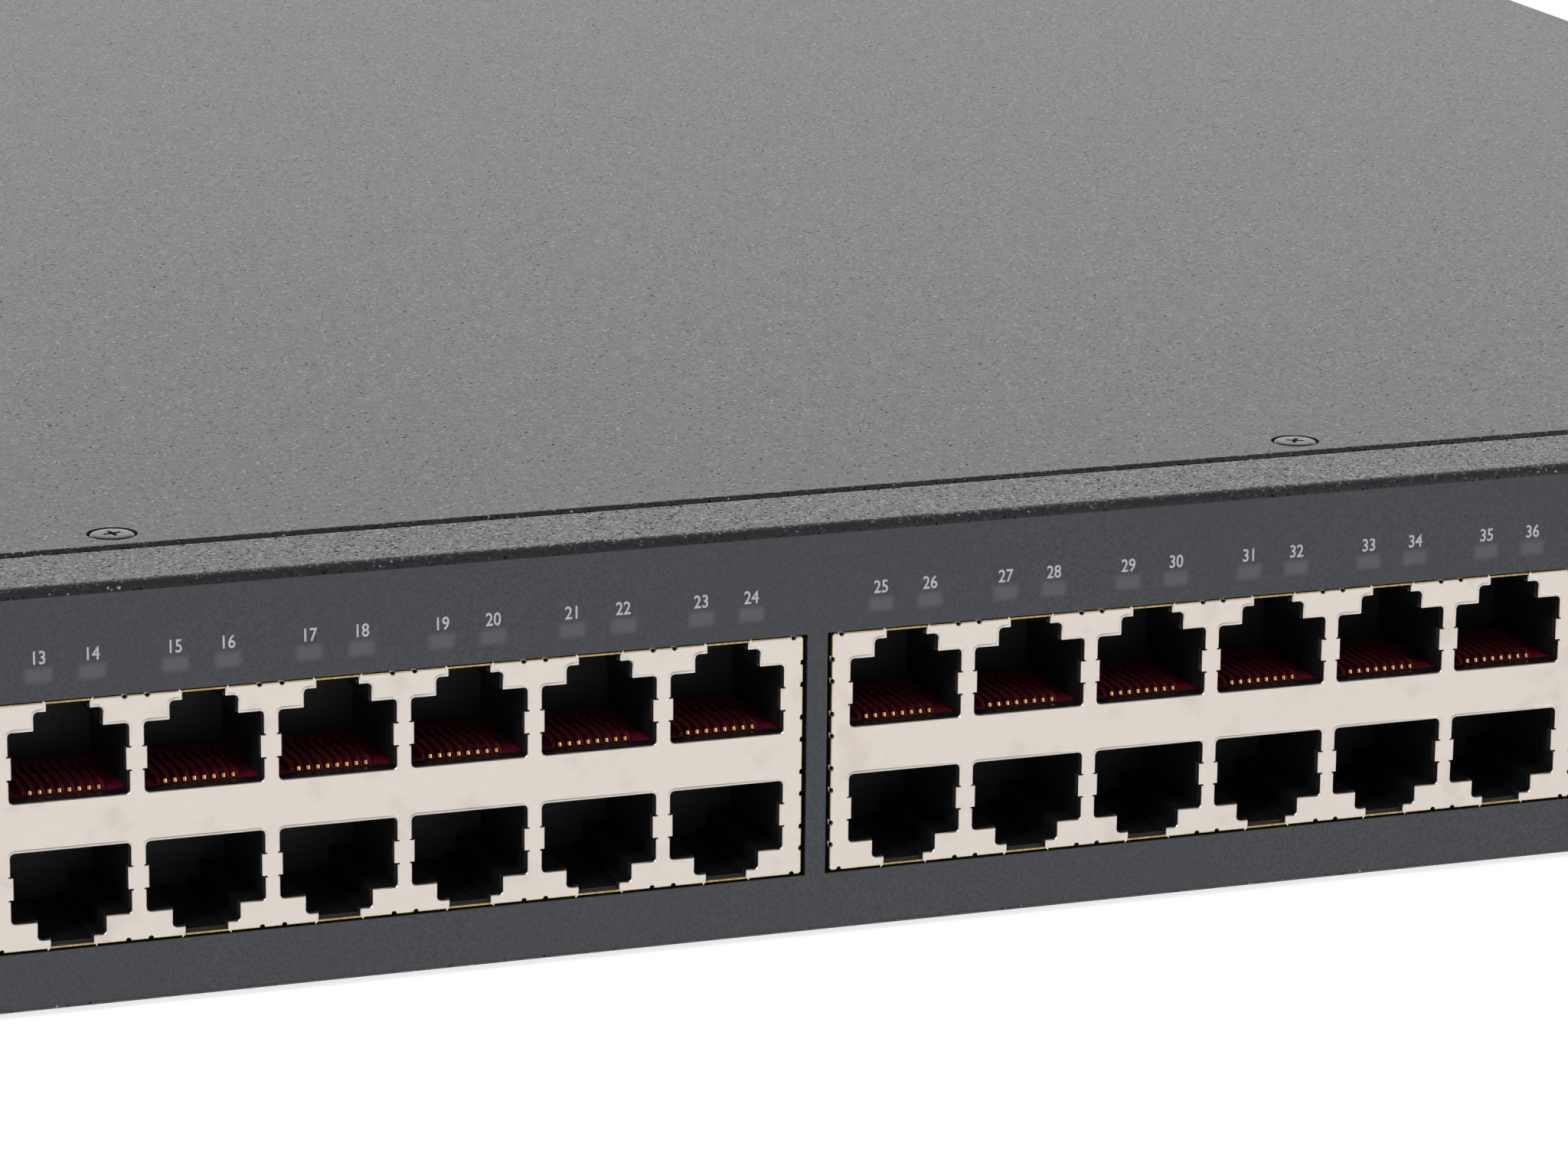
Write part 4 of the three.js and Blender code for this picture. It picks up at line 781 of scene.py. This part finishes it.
def figure_mesh(text):
    """Flat figures about one unit high, as mesh data."""
    words = bpy.data.curves.new("figures", "FONT")
    words.body = text
    words.align_x, words.align_y = "CENTER", "CENTER"
    words.resolution_u = 4
    words.offset = 0.014
    holder = bpy.data.objects.new("figures", words)
    bpy.context.collection.objects.link(holder)
    bpy.context.view_layer.update()
    mesh = bpy.data.meshes.new_from_object(holder.evaluated_get(bpy.context.evaluated_depsgraph_get()))
    bpy.data.objects.remove(holder)
    return mesh


def print_numbers(finishes):
    """The port numbers: a thin layer of ink with its face just proud of the film."""
    proud, ink_depth = 0.01, 0.02
    sample = figure_mesh("28")
    wide = max(v.co.x for v in sample.vertices) - min(v.co.x for v in sample.vertices)
    tall = max(v.co.y for v in sample.vertices) - min(v.co.y for v in sample.vertices)
    squeeze = Matrix.Diagonal((NUMBER_PAIR / wide, NUMBER_CAP / tall, 1, 1))
    stand = Matrix.Rotation(math.pi / 2, 4, "X")
    shape = bmesh.new()
    for port, x in enumerate(lamp_places(), start=1):
        mesh = figure_mesh(str(port))
        heights = [v.co.y for v in mesh.vertices]
        level = Matrix.Translation((0, -(max(heights) + min(heights)) / 2, 0))
        mesh.transform(Matrix.Translation((x, -proud, NUMBER_Z)) @ stand @ squeeze @ level)
        shape.from_mesh(mesh)
    faces = shape.faces[:]
    bmesh.ops.recalc_face_normals(shape, faces=faces)
    ink = bmesh.ops.extrude_face_region(shape, geom=faces)["geom"]
    behind = [item for item in ink if isinstance(item, bmesh.types.BMVert)]
    bmesh.ops.translate(shape, vec=(0, ink_depth, 0), verts=behind)
    make_piece("port_numbers", shape, finishes["number_ink"])


def soft_lines(size):
    """Where a window's grid lines run, across its soft edge, its middle and its other soft edge."""
    half = size / 2
    return [-half - SOFT, -half, -half + SOFT, half - SOFT, half, half + SOFT]


def lamp_window(shape, shade, x, z):
    """A window of thinner ink, softly edged, on the face of the film."""
    proud, depth = 0.006, 0.03
    strength = [0.0, 0.55, 1.0, 1.0, 0.55, 0.0]
    rows = []
    for b, dz in enumerate(soft_lines(LAMP_HEIGHT)):
        row = []
        for a, dx in enumerate(soft_lines(LAMP_WIDTH)):
            vert = shape.verts.new((x + dx, -proud, z + dz))
            vert[shade] = strength[a] * strength[b]
            row.append(vert)
        rows.append(row)
    for low, high in zip(rows, rows[1:]):
        for a in range(len(strength) - 1):
            shape.faces.new((low[a], low[a + 1], high[a + 1], high[a]))
    edge = rows[0] + [row[-1] for row in rows[1:]] + rows[-1][-2::-1] + [row[0] for row in rows[-2:0:-1]]
    behind = [shape.verts.new(vert.co + Vector((0, depth, 0))) for vert in edge]
    for i in range(len(edge)):
        j = (i + 1) % len(edge)
        shape.faces.new((edge[j], edge[i], behind[i], behind[j]))
    shape.faces.new(behind)


def print_windows(finishes):
    """The windows of the port lamps and of the four status lamps."""
    shape = bmesh.new()
    shade = shape.verts.layers.float.new("window")
    for x in lamp_places():
        lamp_window(shape, shade, x, LAMP_Z)
    low, high = span("status_light_pipe")
    for lamp in range(4):
        lamp_window(shape, shade, (low.x + high.x) / 2, LAMP_Z - lamp * STATUS_PITCH)
    make_piece("lamp_windows", shape, finishes["overlay_film"])


# ---------------------------------------------------------------- screws
SCREW_SIDES = 40
THREAD_PITCH = 0.5
RECESS_SHARE = 0.24  # half the width of a cross recess's slot, as a share of its arm
COVER_HEAD = 0.5  # the cover's front screws are seated this far below the tops of their heads
EAR_SEAT, EAR_SCREW_Y, EAR_SCREW_Z = 222.3, (15, 39), (11, 33)
SIDE_SEAT, SIDE_SCREW_Y, SIDE_SCREW_Z = 220.05, (75, 165, 315), 6.4
REAR_SEAT = 350.05
FAN_HOLE, INLET_HOLE = 16, 20  # from the middle of a fan and of the inlet


def cross_outline(arm, half):
    """Outline of a cross recess, anticlockwise."""
    quarter = [(arm, -half), (arm, half), (half, half)]
    points = []
    for turn in range(4):
        for a, b in quarter:
            for _ in range(turn):
                a, b = -b, a
            points.append(Vector((a, b)))
    return points


def screw(shape, place, radius, height, arm, shank=0.0, shank_length=0.0, dome=0.2):
    """A cross-recess screw on the z axis of place, its head seated at z = 0."""
    start = len(shape.verts)
    profile = []
    if shank_length:
        profile += [(shank * 0.55, -shank_length)]
        for thread in range(int(shank_length / THREAD_PITCH)):
            z = -shank_length + thread * THREAD_PITCH
            profile += [(shank * 0.82, z + 0.1), (shank, z + 0.35)]
        profile += [(shank, 0.0)]
    profile += [(radius - 0.05, 0.0), (radius, height * 0.25), (radius, height * 0.55)]
    profile += [(radius - 0.1, height * 0.8), (radius - 0.28, height * (1 - dome * 0.4))]
    profile += [(arm + 0.35, height)]
    lines = loft(shape, [flat(circle(r, SCREW_SIDES), z) for r, z in profile], cap_last=False)
    recess = cross_outline(arm, arm * RECESS_SHARE)
    depth = min(height + 0.6, 1.6)
    mouth = []
    for grow, down in ((1, 0), (0.86, depth * 0.55), (0.3, depth)):
        mouth.append([Vector((p.x * grow, p.y * grow, height - down)) for p in recess])
    inner = loft(shape, mouth, cap_first=False)
    verts = lines[-1] + inner[0]
    loops = [[vert.co for vert in lines[-1]], [vert.co for vert in inner[0]]]
    for a, b, c in tessellate_polygon(loops):
        shape.faces.new((verts[a], verts[b], verts[c]))
    shape.verts.ensure_lookup_table()
    bmesh.ops.transform(shape, matrix=place, verts=shape.verts[start:])


def any_turn(draw):
    """A screw stops with its recess at any angle."""
    return Matrix.Rotation(draw.uniform(0, math.pi / 2), 4, "Z")


def fit_screws(finishes):
    """The cover's four front screws, and those of the ears, the cover's sides, the fans and the inlet."""
    draw = random.Random(7)
    steel = finishes["black_steel"]
    for index in range(1, 5):
        low, high = span(f"cover_screw_{index}")
        seat = Matrix.Translation(((low.x + high.x) / 2, (low.y + high.y) / 2, high.z - COVER_HEAD))
        shape = bmesh.new()
        head = seat @ any_turn(draw)
        screw(shape, head, radius=2.3, height=0.4, arm=1.0, shank=1.25, shank_length=5.0)
        piece = make_piece(f"cover_head_screw_{index}", shape, steel, smooth=35)
        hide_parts(f"cover_screw_{index}")
    ears = bmesh.new()
    sides = bmesh.new()
    for side in (-1, 1):
        outwards = Matrix.Rotation(side * math.pi / 2, 4, "Y")
        for y in EAR_SCREW_Y:
            for z in EAR_SCREW_Z:
                seat = Matrix.Translation((side * EAR_SEAT, y, z)) @ outwards @ any_turn(draw)
                screw(ears, seat, radius=3.4, height=1.5, arm=1.5, shank=1.9, shank_length=4.5, dome=0.8)
        for y in SIDE_SCREW_Y:
            seat = Matrix.Translation((side * SIDE_SEAT, y, SIDE_SCREW_Z)) @ outwards @ any_turn(draw)
            screw(sides, seat, radius=2.3, height=0.5, arm=1.15)
    make_piece("ear_screws", ears, steel, smooth=35)
    make_piece("cover_side_screws", sides, steel, smooth=35)
    backwards = Matrix.Rotation(-math.pi / 2, 4, "X")
    rear = bmesh.new()
    for node in ("fan_frame_1", "fan_frame_2"):
        low, high = span(node)
        for dx in (-FAN_HOLE, FAN_HOLE):
            for dz in (-FAN_HOLE, FAN_HOLE):
                spot = ((low.x + high.x) / 2 + dx, REAR_SEAT, (low.z + high.z) / 2 + dz)
                seat = Matrix.Translation(spot) @ backwards @ any_turn(draw)
                screw(rear, seat, radius=2.9, height=1.6, arm=1.45, dome=0.9)
    make_piece("fan_screws", rear, steel, smooth=35)
    inlet = bmesh.new()
    low, high = span("mains_inlet")
    for dx in (-INLET_HOLE, INLET_HOLE):
        spot = ((low.x + high.x) / 2 + dx, high.y - 0.9, (low.z + high.z) / 2)
        seat = Matrix.Translation(spot) @ backwards @ any_turn(draw)
        screw(inlet, seat, radius=1.74, height=0.8, arm=1.0, dome=0.6)
    make_piece("inlet_screws", inlet, finishes["zinc_steel"], smooth=35)


# ---------------------------------------------------------------- the cover's front edge
def roll_cover_edge(finishes):
    """The coat rolls over the cover's sheared front edge in a small quarter round."""
    low, high = span("top_cover")
    radius, corner, steps, drop = 0.5, 1.6, 5, 1.0
    profile = []
    for step in range(steps + 1):
        angle = math.pi / 2 * step / steps
        profile.append((low.y - radius * math.sin(angle), high.z - radius + radius * math.cos(angle)))
    profile += [(low.y - radius, high.z - drop), (low.y, high.z - drop)]
    shape = bmesh.new()
    loft(shape, [[Vector((x, y, z)) for y, z in profile] for x in (low.x + corner, high.x - corner)])
    make_piece("cover_front_edge", shape, finishes["thick_coat"], smooth=35)


# ---------------------------------------------------------------- the whole scene
place_camera()
light_studio()
lay_floor()
finishes = make_finishes()
dress_solids(finishes)
fit_jacks(finishes)
print_numbers(finishes)
print_windows(finishes)
fit_screws(finishes)
roll_cover_edge(finishes)
